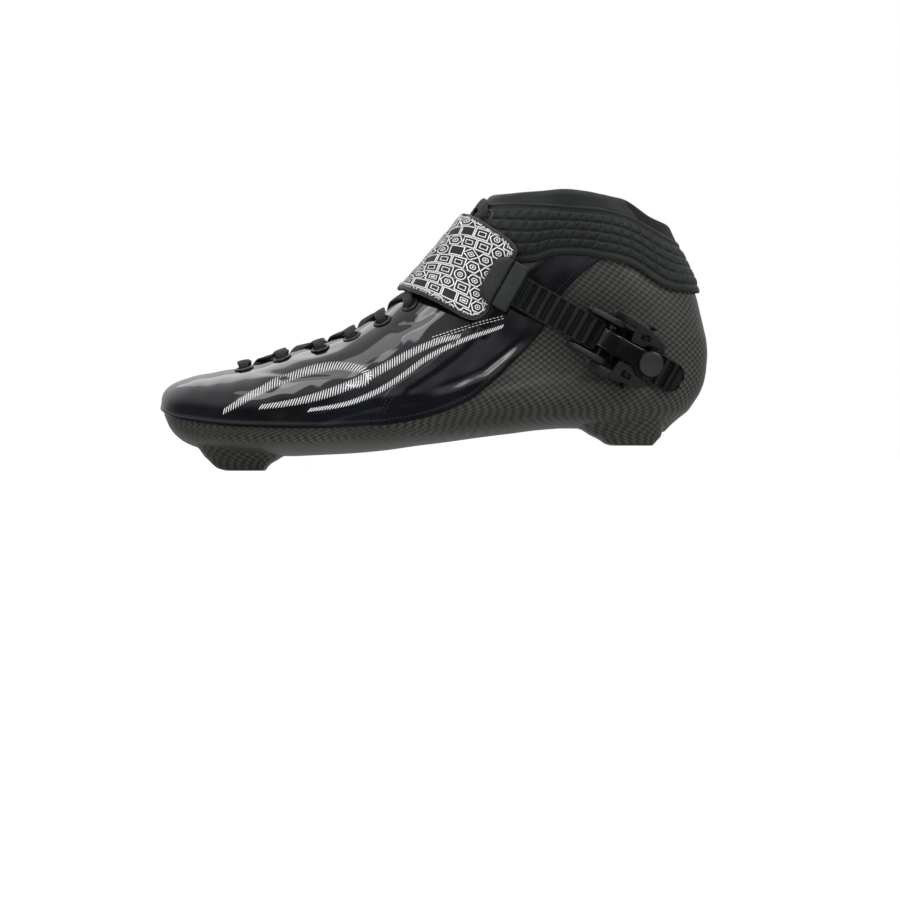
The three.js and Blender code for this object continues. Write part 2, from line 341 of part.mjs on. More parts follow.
// screws and T-nuts of the buckle
const fasteners = [];
for (const [i, s] of [[1, -8], [2, 10]]) {
  const f = tangent(s), so = surfaceO(s, 0);
  const headTop = -0.9;
  const screw = solid(lathe([[0, so - 4.2], [1.9, so - 4.2], [1.9, headTop - 1.9], [3.4, headTop - 0.6], [3.4, headTop], [0, headTop]], 14));
  const drive = solid(new THREE.CylinderGeometry(1.2, 1.2, 2, 6).rotateX(Math.PI / 2).translate(0, 0, headTop));
  const nut = solid(lathe([[2.3, so - 4.0], [4.6, so - 4.0], [4.6, so - 3.2], [3.2, so - 3.2], [3.2, so - 1.2], [2.3, so - 1.2], [2.3, so - 4.0]], 14));
  fasteners.push({ i, s, f, so, screw: screw.subtract(drive), nut });
  base = base.subtract(solid(lathe([[0, so - 8], [2.3, so - 8], [2.3, headTop - 2.3], [3.9, headTop - 0.9], [3.9, 1], [0, 1]].slice(), 14), f));
  shell = shell.subtract(solid(cyl(3.6, so - 8, so + 6, 14), f));
}

// lever with its cam drum, and the latch that holds the ladder
const leverSide = [...circle(0, PIN_O, 4.4, 60, 330, 14), [5.5, 7.4], [13, 9.9], [24, 10.0], [30.6, 9.4], [31.4, 10.2], [30, 12.4], [24, 13.2], [12, 13.0]];
const leverPlan = [[-6, -5], [7, -5], [9, -4.2], [16.5, -4.2], [18.6, -5], ...circle(24.8, 0, 6.6, -118, 118, 14), [18.6, 5], [16.5, 4.2], [9, 4.2], [7, 5], [-6, 5]];
let lever = sideExtrude(leverSide, -8, 8).intersect(planExtrude(leverPlan, -5, 20));
lever = lever.subtract(across(1.8, -20, 20, 0, PIN_O));
const PAWL_S = 6.2, PAWL_O = 9.0; // drive pawl's pin in the lever
lever = lever.subtract(solid(box(1.6, 12.5, -2.3, 2.3, -2, 11.3))).add(across(1.2, -2.4, 2.4, PAWL_S, PAWL_O, 10));
const pawlSide = [...circle(PAWL_S, PAWL_O, 1.9, 200, -20, 8), [9.4, 5.2], [8.2, 3.75], [6.8, 4.4], [5.0, 6.6]];
const drivePawl = sideExtrude(pawlSide, -1.9, 1.9).subtract(across(1.6, -3, 3, PAWL_S, PAWL_O, 10));
const pawlSpring = sideExtrude([[9.4, 9.2], [11.2, 9.0], [11.8, 9.6], [11.9, 10.9], [10.6, 10.9], [10.4, 9.9], [9.3, 9.8]], -1.2, 1.2);
const latchArm = [[-3, 9.0], [-4.2, 7.4], [-3.6, 5.6], [6, 5.0], [12, 3.6], [LATCH_S, 3.0], [23, 3.4], [26.5, 5.4], [27.2, 7.2], [26.4, 8.6], [22, 9.2], [LATCH_S, 9.7], [10, 9.6]];
let latch = sideExtrude(latchArm, -16, -12.1).add(sideExtrude(latchArm, 12.1, 16));
const latchPlan = [[-5, -16.5], [8, -16.5], [14, -15.2], [28, -11.6], [29, -11.6], [29, 11.6], [28, 11.6], [14, 15.2], [8, 16.5], [-5, 16.5]];
const tooth = [[LATCH_S - 2.1, LATCH_O + 0.6], [LATCH_S - 2.4, 4.6], [LATCH_S - 1.6, 3.65], [LATCH_S + 0.4, 3.9], [LATCH_S + 2.1, 5.2], [LATCH_S + 2.1, LATCH_O + 0.6]];
latch = latch.intersect(planExtrude(latchPlan, -5, 20));
latch = latch.add(sideExtrude([[22.2, 6.8], [25.6, 6.4], [26.4, 7.4], [25.4, 8.6], [22.0, 8.8]], -12.4, 12.4));
latch = latch.subtract(across(1.5, -20, 20, LATCH_S, LATCH_O));
const holdPawl = sideExtrude([...circle(LATCH_S, LATCH_O, 2.3, 180, 0, 8), ...tooth.slice().reverse()], -8.3, 5.2).subtract(across(1.5, -20, 20, LATCH_S, LATCH_O));
// the tooth bar and the rear bar of the latch are one moulding
const web = sideExtrude([[LATCH_S + 1.3, 7.1], [23, 6.9], [23, 8.7], [LATCH_S + 1.3, 8.5]], -8.3, 5.2);
latch = latch.add(holdPawl).add(web);
const leverPin = across(1.4, -11.6, 11.6, 0, PIN_O);
const latchPin = across(1.2, -16.4, 16.4, LATCH_S, LATCH_O).add(across(2.3, 16.1, 17.0, LATCH_S, LATCH_O)).add(across(2.3, -17.0, -16.1, LATCH_S, LATCH_O));
function coil(r, wire, h0, h1, turns, s, o) { // torsion spring round a pin
  const pts = [];
  const n = Math.round(turns * 10);
  for (let i = 0; i <= n; i++) { const a = i / 10 * 2 * Math.PI; pts.push(new THREE.Vector3(s + r * Math.cos(a), h0 + (h1 - h0) * i / n, o + r * Math.sin(a))); }
  const c = new THREE.CatmullRomCurve3(pts);
  const shape = new THREE.Shape(circle(0, 0, wire, 0, 300, 5).map((p) => new THREE.Vector2(p[0], p[1])));
  return solid(new THREE.ExtrudeGeometry(shape, { steps: n, extrudePath: c, bevelEnabled: false }));
}
const leverSpring = coil(2.5, 0.38, 5.9, 8.0, 2.5, 0, PIN_O), latchSpring = coil(2.1, 0.32, 6.1, 8.1, 2.5, LATCH_S, LATCH_O);
const flat = (m) => solid(geometry(m), FLAT);

// ---------------------------------------------------------------- soft and sheet pieces
const throatCut = prismXY(throatOutline(0), 20, 190);
const patentRegion = prismXZ([...SHELL_EDGE.slice(0, 30), [86, 109], [80, 112], [60, 112.5], [40, 110], [30, 114], [20, 124], [12, 150], [-150, 150], [-150, 35]]);
let patent = slab(PATENT_OUT, PATENT_IN).intersect(patentRegion).subtract(throatCut);
patent = withHoles(patent);
const seamRight = prismXZ([...SEAM, [-30.6, -5], [150, -5], [150, 160], [18.5, 160], [18.5, 110]]); // behind the quarter seam
const lateral = solid(box(-200, 200, -200, 0, -50, 250)), medial = solid(box(-200, 200, 0, 200, -50, 250));
add("toe_vamp", biggest(patent.subtract(seamRight)), "patent");
for (const [nm, halfSpace] of [["quarter_lateral", lateral], ["quarter_medial", medial]]) {
  const q = patent.intersect(prismXZ([...shift(SEAM, 0.32), [-30.2, -5], [150, -5], [150, 160], [18.9, 160], [18.9, 110]])).intersect(halfSpace);
  add(nm, biggest(q), "patent");
}
// collar: a thin overlap over the shell and the patent, padded behind the eyestay
const collarRegion = prismXZ([[21.5, 112], ...COLLAR_LOW.slice(2), [142, 105.5], ...COLLAR_UP.slice(1, -1).reverse().map((p) => [p[0], p[1] - 0.15]), [21.5, 132.8]]);
let collar = slab(COLLAR_OUT, COLLAR_IN).intersect(collarRegion);
const foamRegion = prismXZ([[44, 112.6], [60, 114.2], [80, 113.6], [86, 111.2], [92.34, 110.6], [98.92, 108.4], [105.0, 104.9], [111.07, 100.7], [116.63, 97.7], [122.7, 96.3], [142, 95.5], [142, 105.5], ...COLLAR_UP.slice(3, -1).reverse().map((p) => [p[0], p[1] - 0.15]), [44, 133]]);
collar = collar.add(slab(COLLAR_IN + 0.2, -1.8).intersect(foamRegion)).subtract(throatCut);
collar = withHoles(collar);
add("collar_panel", biggest(collar), "collar");
const bandRegion = prismXZ([...COLLAR_UP.slice(0, -1).map((p) => [p[0], p[1] + 0.15]), [142, 105.8], ...RIM.slice().reverse()]);
const band = slab(2.4, -4.4).intersect(bandRegion).subtract(throatCut);
const meshCut = prismXZ([...MESH_LINE, [150, 100], [150, 160], [94.88, 160]]), meshCutWide = prismXZ([...MESH_LINE.map((p) => [p[0] - 0.3, p[1]]), [103, 100], [150, 100], [150, 160], [94.58, 160]]);
const bandOnly = band.subtract(meshCutWide);
add("collar_band_lateral", biggest(bandOnly.intersect(lateral)), "band");
add("collar_band_medial", biggest(bandOnly.intersect(medial)), "band");
add("achilles_mesh", biggest(band.intersect(meshCut)), "mesh");

// lining, ankle padding, footbed, tongue
const smooth = (a, b, v) => { const t = Math.min(1, Math.max(0, (v - a) / (b - a))); return t * t * (3 - 2 * t); };
const deep = (x, y, z) => 2.9 * smooth(10, 42, x) * smooth(28, 46, z);
const LIN_OUT = (x, y, z) => -2.3 - deep(x, y, z), LIN_IN = (x, y, z) => -3.5 - deep(x, y, z);
const PADDING_IN = (x, y, z) => -2.0 - Math.max(0.3, deep(x, y, z));
const belowCollarUp = prismXZ([...COLLAR_UP.map((p) => [p[0], p[1] - 0.15]), [150, 100], [150, -10], [-150, -10], [-150, 133], [5, 133]]);
let lining = body(LIN_OUT).subtract(body(LIN_IN)).intersect(belowCollarUp).subtract(prismXY(throatOutline(0.8), 24, 190));
let padding = body(-2.25).subtract(body(PADDING_IN)).intersect(prismXZ([[23, 37], [150, 37], [150, 93], [111, 99.5], [98.9, 107.5], [84.7, 110.5], [62, 110.5], [42, 106], [32, 98], [23, 86]]));
const footTop = [[-140, 21], [-125, 17.3], [-105, 14.6], [-80, 13.6], [-50, 14.2], [-20, 16.6], [10, 21.2], [40, 25.4], [70, 27.4], [100, 26.4], [140, 26.4]];
const innerBody = body((x, y, z) => LIN_IN(x, y, z) - 0.3);
const footbed = innerBody.intersect(prismXZ([...footTop.map((p) => [p[0], p[1] + 1.0]), [150, 20], [150, -10], [-150, -10], [-150, 21]]));
const tongueHalf = pchip([[-88, 12], [-60, 17], [0, 19], [30, 18]]);
const tonguePlan = []; { const a = [], b = []; for (let i = 0; i <= 8; i++) { const x = -86 + 116 * i / 8; a.push([x, yMid(x) - tongueHalf(x)]); b.unshift([x, yMid(x) + tongueHalf(x)]); } tonguePlan.push(...a, [60, -17], [60, 17], ...b); }
const tongue = body((x, y, z) => LIN_IN(x, y, z) - 0.35).subtract(body((x, y, z) => LIN_IN(x, y, z) - 3.6)).intersect(prismXY(tonguePlan, 20, 190)).intersect(prismXZ([[-90, 30], [-90, 90], [-30, 110], [10, 137.5], [30, 140.5], [44, 139], [44, 128], [-20, 60], [-84, 30]]));

// medial strap: from under the pad to its screw on the shell
const MED = { x: 92, z: 62 };
const medialStrapRegion = prismXZ([[18, 106], [34, 116], [44, 104], [70, 86], [97.5, 70.5], [100.5, 63], [97, 55.5], [89, 52.8], [62, 66], [34, 80], [24, 88]], 2, 90);
const strapRise = (x, y, z) => 0.35 + 1.25 * (1 - smooth(60, 78, x)) + 1.5 * smooth(82, 97, z);
let medialStrap = body((x, y, z) => strapRise(x, y, z) + 1.2).subtract(body(strapRise)).intersect(medialStrapRegion);
const medY = yMid(MED.x) + halfWidth(MED.x, MED.z, 1), medN = normalAt(MED.x, medY, MED.z);
const medF = frameOn(new THREE.Vector3(MED.x, medY, MED.z), medN, AX);
medialStrap = medialStrap.subtract(solid(cyl(2.6, -3, 8, 14), medF));
shell = shell.subtract(solid(cyl(3.6, -10, 5, 14), medF));
const medialScrew = solid(lathe([[0, -3.9], [1.9, -3.9], [1.9, 3.0], [4.3, 3.0], [4.0, 4.3], [2.4, 5.0], [0, 5.0]], 14)).subtract(solid(new THREE.CylinderGeometry(1.4, 1.4, 3, 6).rotateX(Math.PI / 2).translate(0, 0, 5.0)));
const medialWasher = solid(lathe([[2.3, 2.1], [5.6, 2.1], [5.6, 2.7], [2.3, 2.7], [2.3, 2.1]], 16));
const medialNut = solid(lathe([[2.3, -3.7], [4.8, -3.7], [4.8, -2.9], [3.2, -2.9], [3.2, -0.6], [2.3, -0.6], [2.3, -3.7]], 14));
medialStrap = biggest(medialStrap);

// nuts need room in the padding
const nutRoom = (f, so) => solid(cyl(5.4, so - 9, so + 1, 14), f);
for (const q of fasteners) padding = padding.subtract(nutRoom(q.f, q.so));
padding = biggest(padding.subtract(nutRoom(medF, 0)));
lining = biggest(lining);
shell = biggest(shell);

add("carbon_shell", shell, "carbon");
add("front_mount_insert", frontInsert, "alu");
add("rear_mount_insert", rearInsert, "alu");
add("ankle_padding", padding, "foam");
add("inner_lining", lining, "lining");
add("footbed", biggest(footbed), "foam");
add("tongue", biggest(tongue), "tongue");

// ---------------------------------------------------------------- eyelet rings and lace
eyelets.forEach((e) => {
  const l = e.lift;
  const ring = solid(lathe([[2.75, -0.1 + l * 0.4], [3.15, -0.1 + l * 0.4], [3.15, PATENT_OUT + 0.3 + l], [5, PATENT_OUT + 0.3 + l], [4.3, PATENT_OUT + 1.0 + l], [2.75, PATENT_OUT + 0.9 + l], [2.75, -0.1 + l * 0.4]], 12), e.m);
  add(`eyelet_${e.side < 0 ? "lateral" : "medial"}_${e.row + 1}`, ring, "eyelet");
});
const V = (x, y, o) => { const { p, n } = onTop(x, y); return p.clone().addScaledVector(n, o); };
const lacePts = []; // {p, w, t, ref}
const throatDir = (x) => new THREE.Vector3(1, 0, (zTop(x + 1) - zTop(x - 1)) / 2).normalize();
function onSide(x, z, s, o) { const y = yMid(x) + s * halfWidth(x, z, s); return new THREE.Vector3(x, y, z).addScaledVector(normalAt(x, y, z), o); }
const W_L = 5.6, T_L = 1.1;
const push = (p, w, ref, t = T_L) => lacePts.push({ p, w, ref, t });
const byRow = (r, s) => eyelets.find((e) => e.row === r && e.side === s);
function downThrough(e, up, last) { // the lace turns down through the ring, or up through it when up is true
  const d = throatDir(e.x), yo = e.y, q = (o, dy) => V(e.x, yo - e.side * dy, o).clone();
  const l = e.lift;
  const seq = [[4.9, 3.3 + l, 5.0], [2.4, (last ? 3.5 : 3.3) + l, 3.8], [0.5, 2.8 + l, 3.4], [0.0, 0.9 + l, 3.8], [0.4, -0.9, 3.8], [2.6, -1.3, 4.4], [6.4, -1.3, 4.8], [9.4, -1.3, 4.8]];
  if (last) seq.splice(4, 4, [-0.3, -0.7, 4.0]);
  if (up) seq.reverse();
  for (const [dy, o, w] of seq) push(q(o, dy), w, d);
}
function half(sgn) { // one half of the lace, from the first row's bar to its end; sgn is the side it starts on
  const out = [];
  let side = sgn;
  for (let r = 1; r < 9; r++) {
    const a = byRow(r - 1, side), b = byRow(r, -side);
    const ya = THROAT(a.x) - 2.2, yb = THROAT(b.x) + 0.6;
    const over = sgn > 0 ? 2.2 : 0.7;
    const xm = (a.x + b.x) / 2, d = throatDir(xm);
    const lb = b.lift;
    out.push({ p: V(a.x + (b.x - a.x) * 0.16, yMid(a.x) + side * ya, -1.2), w: 5.0, ref: d });
    out.push({ p: V(a.x + (b.x - a.x) * 0.5, yMid(xm) + side * 0.01, over), w: W_L, ref: d });
    out.push({ p: V(a.x + (b.x - a.x) * 0.86, yMid(b.x) - side * yb, 2.75 + lb), w: W_L, ref: d });
    out.push({ eye: b, last: r === 8 });
    side = -side;
  }
  // the end runs down behind the collar, between it and the lining
  const e = byRow(8, side), dn = new THREE.Vector3(1, 0, 0);
  for (const [x, z, o, w] of [[28.4, 123.2, -1.5, 4.4], [27.6, 118.5, -2.1, 4.6], [26.6, 112.6, -2.3, 3.4]]) out.push({ p: onSide(x, z, side, o), w, ref: dn });
  return { out, side };
}
const A = half(-1), B = half(1);
function emit(list, reverse) {
  const seq = reverse ? list.slice().reverse() : list;
  for (const q of seq) { if (q.eye) downThrough(q.eye, reverse, q.last); else push(q.p, q.w, q.ref); }
}
emit(A.out, true); // from the lateral start's end back to the first row
const first = [byRow(0, -1), byRow(0, 1)];
downThrough(first[0], true);
push(V(first[0].x, yMid(first[0].x), 2.9), W_L, throatDir(first[0].x));
downThrough(first[1], false);
emit(B.out, false);
function laceGeometry() {
  const c = new THREE.CatmullRomCurve3(lacePts.map((q) => q.p), false, "centripetal");
  const n = lacePts.length, per = 1, rows = [];
  for (let i = 0; i < n - 1; i++) for (let k = 0; k < per; k++) rows.push([i, k / per]);
  rows.push([n - 2, 1]);
  const pos = [], idx = [];
  rows.forEach(([i, f], r) => {
    const t = (i + f) / (n - 1), p = c.getPoint(t), T = c.getTangent(t).normalize();
    const a = lacePts[i], b = lacePts[i + 1];
    let ra = a.ref.clone(), rb = b.ref.clone(); if (ra.dot(rb) < -0.2) rb.negate();
    const ref = ra.lerp(rb, f), w = (a.w + (b.w - a.w) * f) / 2, h = T_L / 2;
    const wx = ref.addScaledVector(T, -ref.dot(T)).normalize(), nn = new THREE.Vector3().crossVectors(T, wx);
    for (const [u, v] of [[-1, -1], [1, -1], [1, 1], [-1, 1]]) { const q = p.clone().addScaledVector(wx, u * w).addScaledVector(nn, v * h); pos.push(q.x, q.y, q.z); }
    if (r) for (let j = 0; j < 4; j++) { const k = (j + 1) % 4, o = (r - 1) * 4; idx.push(o + j, o + k, o + 4 + j, o + k, o + 4 + k, o + 4 + j); }
  });
  const L = (rows.length - 1) * 4;
  idx.push(0, 2, 1, 0, 3, 2, L, L + 1, L + 2, L, L + 2, L + 3);
  const g = new THREE.BufferGeometry().setAttribute("position", new THREE.BufferAttribute(new Float32Array(pos), 3));
  g.setIndex(idx);
  return g;
}
add("lace", solid(laceGeometry()), "lace");
for (const [nm, q] of [["aglet_lateral", A], ["aglet_medial", B]]) {
  const s = q.side, p0 = onSide(26.5, 111.9, s, -2.3), p1 = onSide(25, 101.5, s, -2.2);
  const d = p1.clone().sub(p0), l = d.length();
  const m = frameOn(p0, d.clone().normalize(), new THREE.Vector3(1, 0, 0));
  add(s < 0 ? "aglet_lateral" : "aglet_medial", solid(lathe([[0, 0], [0.85, 0], [0.85, l - 0.8], [0.5, l], [0, l]], 8), m), "aglet");
}

// ---------------------------------------------------------------- instep strap
const PAD_OUTLINE = [[2, 131.5], [8.5, 132.5], [15.94, 127.26], [24.04, 123.72], [31.62, 118.66], [36.69, 115.11], [39.97, 112.59], [41.74, 110.06], [41.24, 107.53], [39.72, 105.5], [28.59, 86.27], [26.57, 79.7], [24.04, 77.17], [19.99, 75.65], [15.94, 76.66], [8.86, 80.2], [1.27, 83.74], [-6.33, 86.78], [-11.38, 88.3], [-16.45, 89.31], [-19.99, 89.81], [-32, 97]];
const pad = slab(PAD_OUT, PAD_IN).intersect(prismXZ(PAD_OUTLINE));
add("instep_pad", biggest(pad), "strap");
// end cap: a moulding that sits on the pad and grips the ladder
const capPlan = [[-49, -12.4], [-56.6, -12.4], ...circle(-60.5, -6.6, 5.6, 270, 180, 5), ...circle(-60.5, 6.6, 5.6, 180, 90, 5), [-56.6, 12.4], [-49, 12.4]];
let cap = planExtrude(capPlan, -6, 6.4);
cap = bendSolid(cap);
cap = cap.subtract(body(PAD_OUT + 0.3).intersect(prismXZ(shift(PAD_OUTLINE, 0.4)))).subtract(body(4.0));
const ladderRoom = bendSolid(sideExtrude([[CAP_END - 9.4, -0.3], [CAP_END + 2, -0.3], [CAP_END + 2, 3.5], [CAP_END - 9.4, 3.5]], -8.3, 8.3));
cap = biggest(cap.subtract(ladderRoom));
const capScrewF = tangent(CAP_END - 4.5);
const capScrew = solid(lathe([[0, 3.6], [1.2, 3.6], [1.2, 5.0], [2.2, 5.0], [2.2, 6.9], [0, 6.9]], 12), capScrewF);
cap = cap.subtract(solid(lathe([[0, 3.3], [1.5, 3.3], [1.5, 4.7], [2.5, 4.7], [2.5, 8], [0, 8]], 12), capScrewF));
add("strap_end_cap", biggest(cap), "plastic");
add("ladder_strap", ladder.subtract(body(PAD_OUT + 0.3).intersect(prismXZ(shift(PAD_OUTLINE, 0.4)))), "plastic");
add("cap_screw", capScrew, "steel");
add("medial_strap", medialStrap, "plastic");
add("medial_screw", solid(geometry(medialScrew), medF), "steel");
add("medial_washer", solid(geometry(medialWasher), medF), "steel");
add("medial_t_nut", solid(geometry(medialNut), medF), "steel");

add("buckle_base", biggest(base), "plastic");
add("buckle_lever", flat(lever), "gloss");
add("lever_pin", flat(leverPin), "steel");
add("lever_spring", flat(leverSpring), "steel");
add("drive_pawl", flat(drivePawl), "gloss");
add("pawl_leaf_spring", flat(pawlSpring), "steel");
add("release_latch", flat(latch), "plastic");
add("latch_pin", flat(latchPin), "steel");
add("latch_spring", flat(latchSpring), "steel");
for (const q of fasteners) { add(`buckle_screw_${q.i}`, solid(geometry(q.screw), q.f), "steel"); add(`buckle_t_nut_${q.i}`, solid(geometry(q.nut), q.f), "steel"); }

for (const m of group.children) m.geometry.translate(-CENTRE[0], -CENTRE[1], 0);

export default group;
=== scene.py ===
import math
import bpy
import bmesh
import numpy as np
from mathutils import Vector, Matrix


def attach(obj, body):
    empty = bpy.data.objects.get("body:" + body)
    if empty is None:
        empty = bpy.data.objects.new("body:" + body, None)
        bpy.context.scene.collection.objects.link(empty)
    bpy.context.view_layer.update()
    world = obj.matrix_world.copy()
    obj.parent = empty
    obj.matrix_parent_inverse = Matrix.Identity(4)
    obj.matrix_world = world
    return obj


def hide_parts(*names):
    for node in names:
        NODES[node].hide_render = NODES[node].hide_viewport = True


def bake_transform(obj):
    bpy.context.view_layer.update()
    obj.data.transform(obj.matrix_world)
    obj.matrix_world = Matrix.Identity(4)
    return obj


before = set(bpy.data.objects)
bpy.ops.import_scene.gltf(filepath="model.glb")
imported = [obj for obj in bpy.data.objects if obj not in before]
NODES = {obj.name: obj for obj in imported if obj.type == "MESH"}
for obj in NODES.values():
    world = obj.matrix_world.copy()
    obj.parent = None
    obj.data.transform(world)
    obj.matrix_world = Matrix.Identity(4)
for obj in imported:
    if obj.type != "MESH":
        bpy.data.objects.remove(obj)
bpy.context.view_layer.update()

CEN = np.array([0.54, -0.675, 0.0])
RNG = np.random.RandomState(7)

# ------------------------------------------------------------------ the last's surface
def slopes(x, y):
    h = np.diff(x); d = np.diff(y, axis=-1) / h
    m = np.zeros_like(y)
    a = 2 * h[1:] + h[:-1]; b = h[1:] + 2 * h[:-1]
    d0, d1 = d[..., :-1], d[..., 1:]
    ok = d0 * d1 > 0
    m[..., 1:-1] = np.where(ok, (a + b) / (a / np.where(ok, d0, 1.0) + b / np.where(ok, d1, 1.0)), 0.0)
    m[..., 0] = d[..., 0]; m[..., -1] = d[..., -1]
    return m


def hermite(x, y0, y1, m0, m1, i, c):
    h = x[i + 1] - x[i]; t = (c - x[i]) / h; t2 = t * t; t3 = t2 * t
    return (2 * t3 - 3 * t2 + 1) * y0 + (t3 - 2 * t2 + t) * h * m0 + (-2 * t3 + 3 * t2) * y1 + (t3 - t2) * h * m1


def pchip(P):
    P = list(P)
    x = np.array([float(p[0]) for p in P]); y = np.array([float(p[1]) for p in P]); m = slopes(x, y)

    def f(v):
        c = np.clip(np.asarray(v, float), x[0], x[-1])
        i = np.clip(np.searchsorted(x, c, side="right") - 1, 0, len(x) - 2)
        return hermite(x, y[i], y[i + 1], m[i], m[i + 1], i, c)
    return f


SOLE = [[-136.62, 33.14], [-136.27, 29.09], [-134.85, 25.05], [-132.82, 21.0], [-129.79, 17.46], [-125.74, 14.42], [-120.68, 12.14], [-114.61, 10.37], [-107.53, 8.86], [-97.41, 7.69], [-86.27, 7.24], [-72.11, 7.24], [-56.92, 7.84], [-41.74, 8.6], [-24.54, 10.12], [-8.35, 12.4], [7.84, 14.42], [24.04, 16.7], [40.23, 18.72], [54.4, 20.49], [67.05, 21.25], [79.7, 21.0], [89.81, 20.24], [99.94, 19.73], [110.06, 19.48], [139.2, 19.48]]
TOP = [[-136.62, 33.15], [-136.11, 37.19], [-134.85, 39.72], [-132.32, 42.1], [-128.78, 43.97], [-124.73, 45.39], [-119.67, 46.91], [-111.57, 48.42], [-99.43, 50.35], [-86.27, 53.38], [-72.11, 58.44], [-56.92, 62.49], [-44.27, 67.3], [-31.62, 74.64], [-19.99, 82.2], [-11.38, 88.8], [-1.27, 99.4], [8.86, 111.4], [15.94, 119.9], [23.02, 128.6], [29.09, 136.37], [39.22, 148.0], [49.34, 159.14], [64.52, 176.34], [85.77, 200.12], [139.2, 200.2]]
BACK = [[12.4, 110.06], [15.18, 113.09], [19.48, 117.14], [23.53, 121.19], [27.07, 125.23], [30.36, 129.28], [34.66, 132.32], [39.72, 135.35], [45.29, 137.38], [51.87, 138.64], [58.44, 139.0], [66.03, 138.54], [71.6, 137.38], [80.2, 135.35], [88.8, 133.08], [94.37, 130.8], [101.45, 127.26], [109.55, 123.72], [115.11, 121.19], [121.69, 118.15], [127.26, 115.62], [137.88, 111.07], [151.04, 105.0], [167.23, 97.41], [200.2, 84.75]]
z_sole, z_top, x_back = pchip(SOLE), pchip(TOP), pchip(BACK)
X_TOE, X_HEEL, Z_TOE, Z_HEEL = -136.62, 139.0, 33.145, 58.44
y_mid = pchip([[-137, 9], [-120, 8], [-95, 4.5], [-70, 2], [-40, 1], [0, 0], [40, 0], [140, 0]])
HZ = [10, 20, 36, 56, 76, 96, 117, 137]
HW = [
    [-137, [36, 38, 38, 36, 36, 36, 36, 36], [34, 36, 36, 34, 34, 34, 34, 34]],
    [-118, [38, 41, 41, 39, 38, 38, 38, 38], [35, 38, 38, 37, 36, 36, 36, 36]],
    [-92, [42, 46, 46, 43, 42, 42, 42, 42], [39, 43, 43, 40, 39, 39, 39, 39]],
    [-68, [43, 47.5, 48, 45, 43, 42, 42, 42], [40, 44, 44, 42, 40, 38, 38, 38]],
    [-42, [42, 46, 47, 44, 40, 38, 36, 36], [38, 41.5, 42, 40, 37, 35, 34, 34]],
    [-16, [38, 41.5, 43.5, 40.5, 36, 33, 32, 32], [33, 36, 38, 37, 34, 32, 31, 31]],
    [9, [34, 37, 39, 36.5, 33, 31, 30, 30], [30, 32.5, 34, 33.5, 32, 31, 30, 30]],
    [34, [32, 35, 37, 34, 32, 31, 31, 30.5], [30, 32, 33.5, 32, 31.5, 31, 30.5, 30]],
    [60, [32, 35, 36.5, 32.4, 32.4, 33, 32, 31.5], [31, 33, 34.5, 32, 32, 33, 32, 31]],
    [85, [33, 35.5, 35.6, 32.4, 33, 34, 32.5, 31.5], [32, 34.5, 35, 32.4, 33, 34, 32.5, 31.5]],
    [110, [34, 34.6, 33.8, 32, 33, 33, 31.5, 30.5], [33, 34.5, 34.5, 33, 33, 33, 31.5, 30.5]],
    [140, [34, 34.6, 33.8, 32, 33, 33, 31.5, 30.5], [33, 34.5, 34.5, 33, 33, 33, 31.5, 30.5]],
]
HX = np.array([float(r[0]) for r in HW])
COLS = {-1: [pchip(zip(HZ, r[1])) for r in HW], 1: [pchip(zip(HZ, r[2])) for r in HW]}


def base_width(x, z, side):
    shape = np.broadcast(x, z).shape
    x = np.clip(np.broadcast_to(np.asarray(x, float), shape).ravel(), HX[0], HX[-1]); z = np.broadcast_to(np.asarray(z, float), shape).ravel()
    F = np.stack([c(z) for c in COLS[side]], -1)
    m = slopes(HX, F)
    i = np.clip(np.searchsorted(HX, x, side="right") - 1, 0, len(HX) - 2); r = np.arange(len(x))
    return hermite(HX, F[r, i], F[r, i + 1], m[r, i], m[r, i + 1], i, x).reshape(shape)


rho_top = pchip([[-137, 9], [-125, 13], [-105, 19], [-80, 24], [-50, 29], [-20, 36], [10, 44], [30, 46], [140, 46]])
rho_sole = pchip([[-137, 7], [-125, 9], [-105, 12], [-70, 14], [0, 15], [60, 16], [140, 16]])
rho_back = pchip([[12, 30], [30, 44], [58, 60], [90, 52], [120, 44], [200, 42]])


def rnd(q, p):
    q = np.clip(q, 0.0, 1.0)
    return (1 - (1 - q) ** p) ** (1 / p)


def half_width(x, z, side):
    return base_width(x, z, side) * rnd((z_top(x) - z) / rho_top(x), 2.1) * rnd((z - z_sole(x)) / rho_sole(x), 2.3) * \
        rnd((x_back(z) - x) / rho_back(z), 2.1) * rnd((x - X_TOE) / 42.0, 2.2)


def z_limits(x):
    x = np.asarray(x, float)
    lo, hi = z_sole(x).copy(), z_top(x).copy()
    for arr in (lo, hi):
        need = x_back(arr) < x
        a, b = arr.copy(), np.full_like(arr, Z_HEEL)
        for _ in range(50):
            m = (a + b) / 2; g = x_back(m) > x
            b = np.where(g, m, b); a = np.where(g, a, m)
        arr[need] = ((a + b) / 2)[need]
    return lo, hi


THROAT = pchip([[-101, 0.6], [-99, 3], [-92, 6], [-75, 8.5], [-45, 9.5], [-10, 9.5], [20, 8.2], [60, 8]])


def z_throat(x, side, grow=0.0):
    """Height at which the throat's edge runs, on each ring; the ring's top where there is no throat."""
    x = np.asarray(x, float); lo, hi = z_limits(x)
    w = THROAT(x) + grow
    a = hi.copy(); b = np.maximum(z_sole(x) + rho_sole(x), z_top(x) - rho_top(x))
    for _ in range(46):
        m = (a + b) / 2; g = half_width(x, m, side) > w
        b = np.where(g, m, b); a = np.where(g, a, m)
    return np.where(x < -101 - grow, hi, (a + b) / 2)


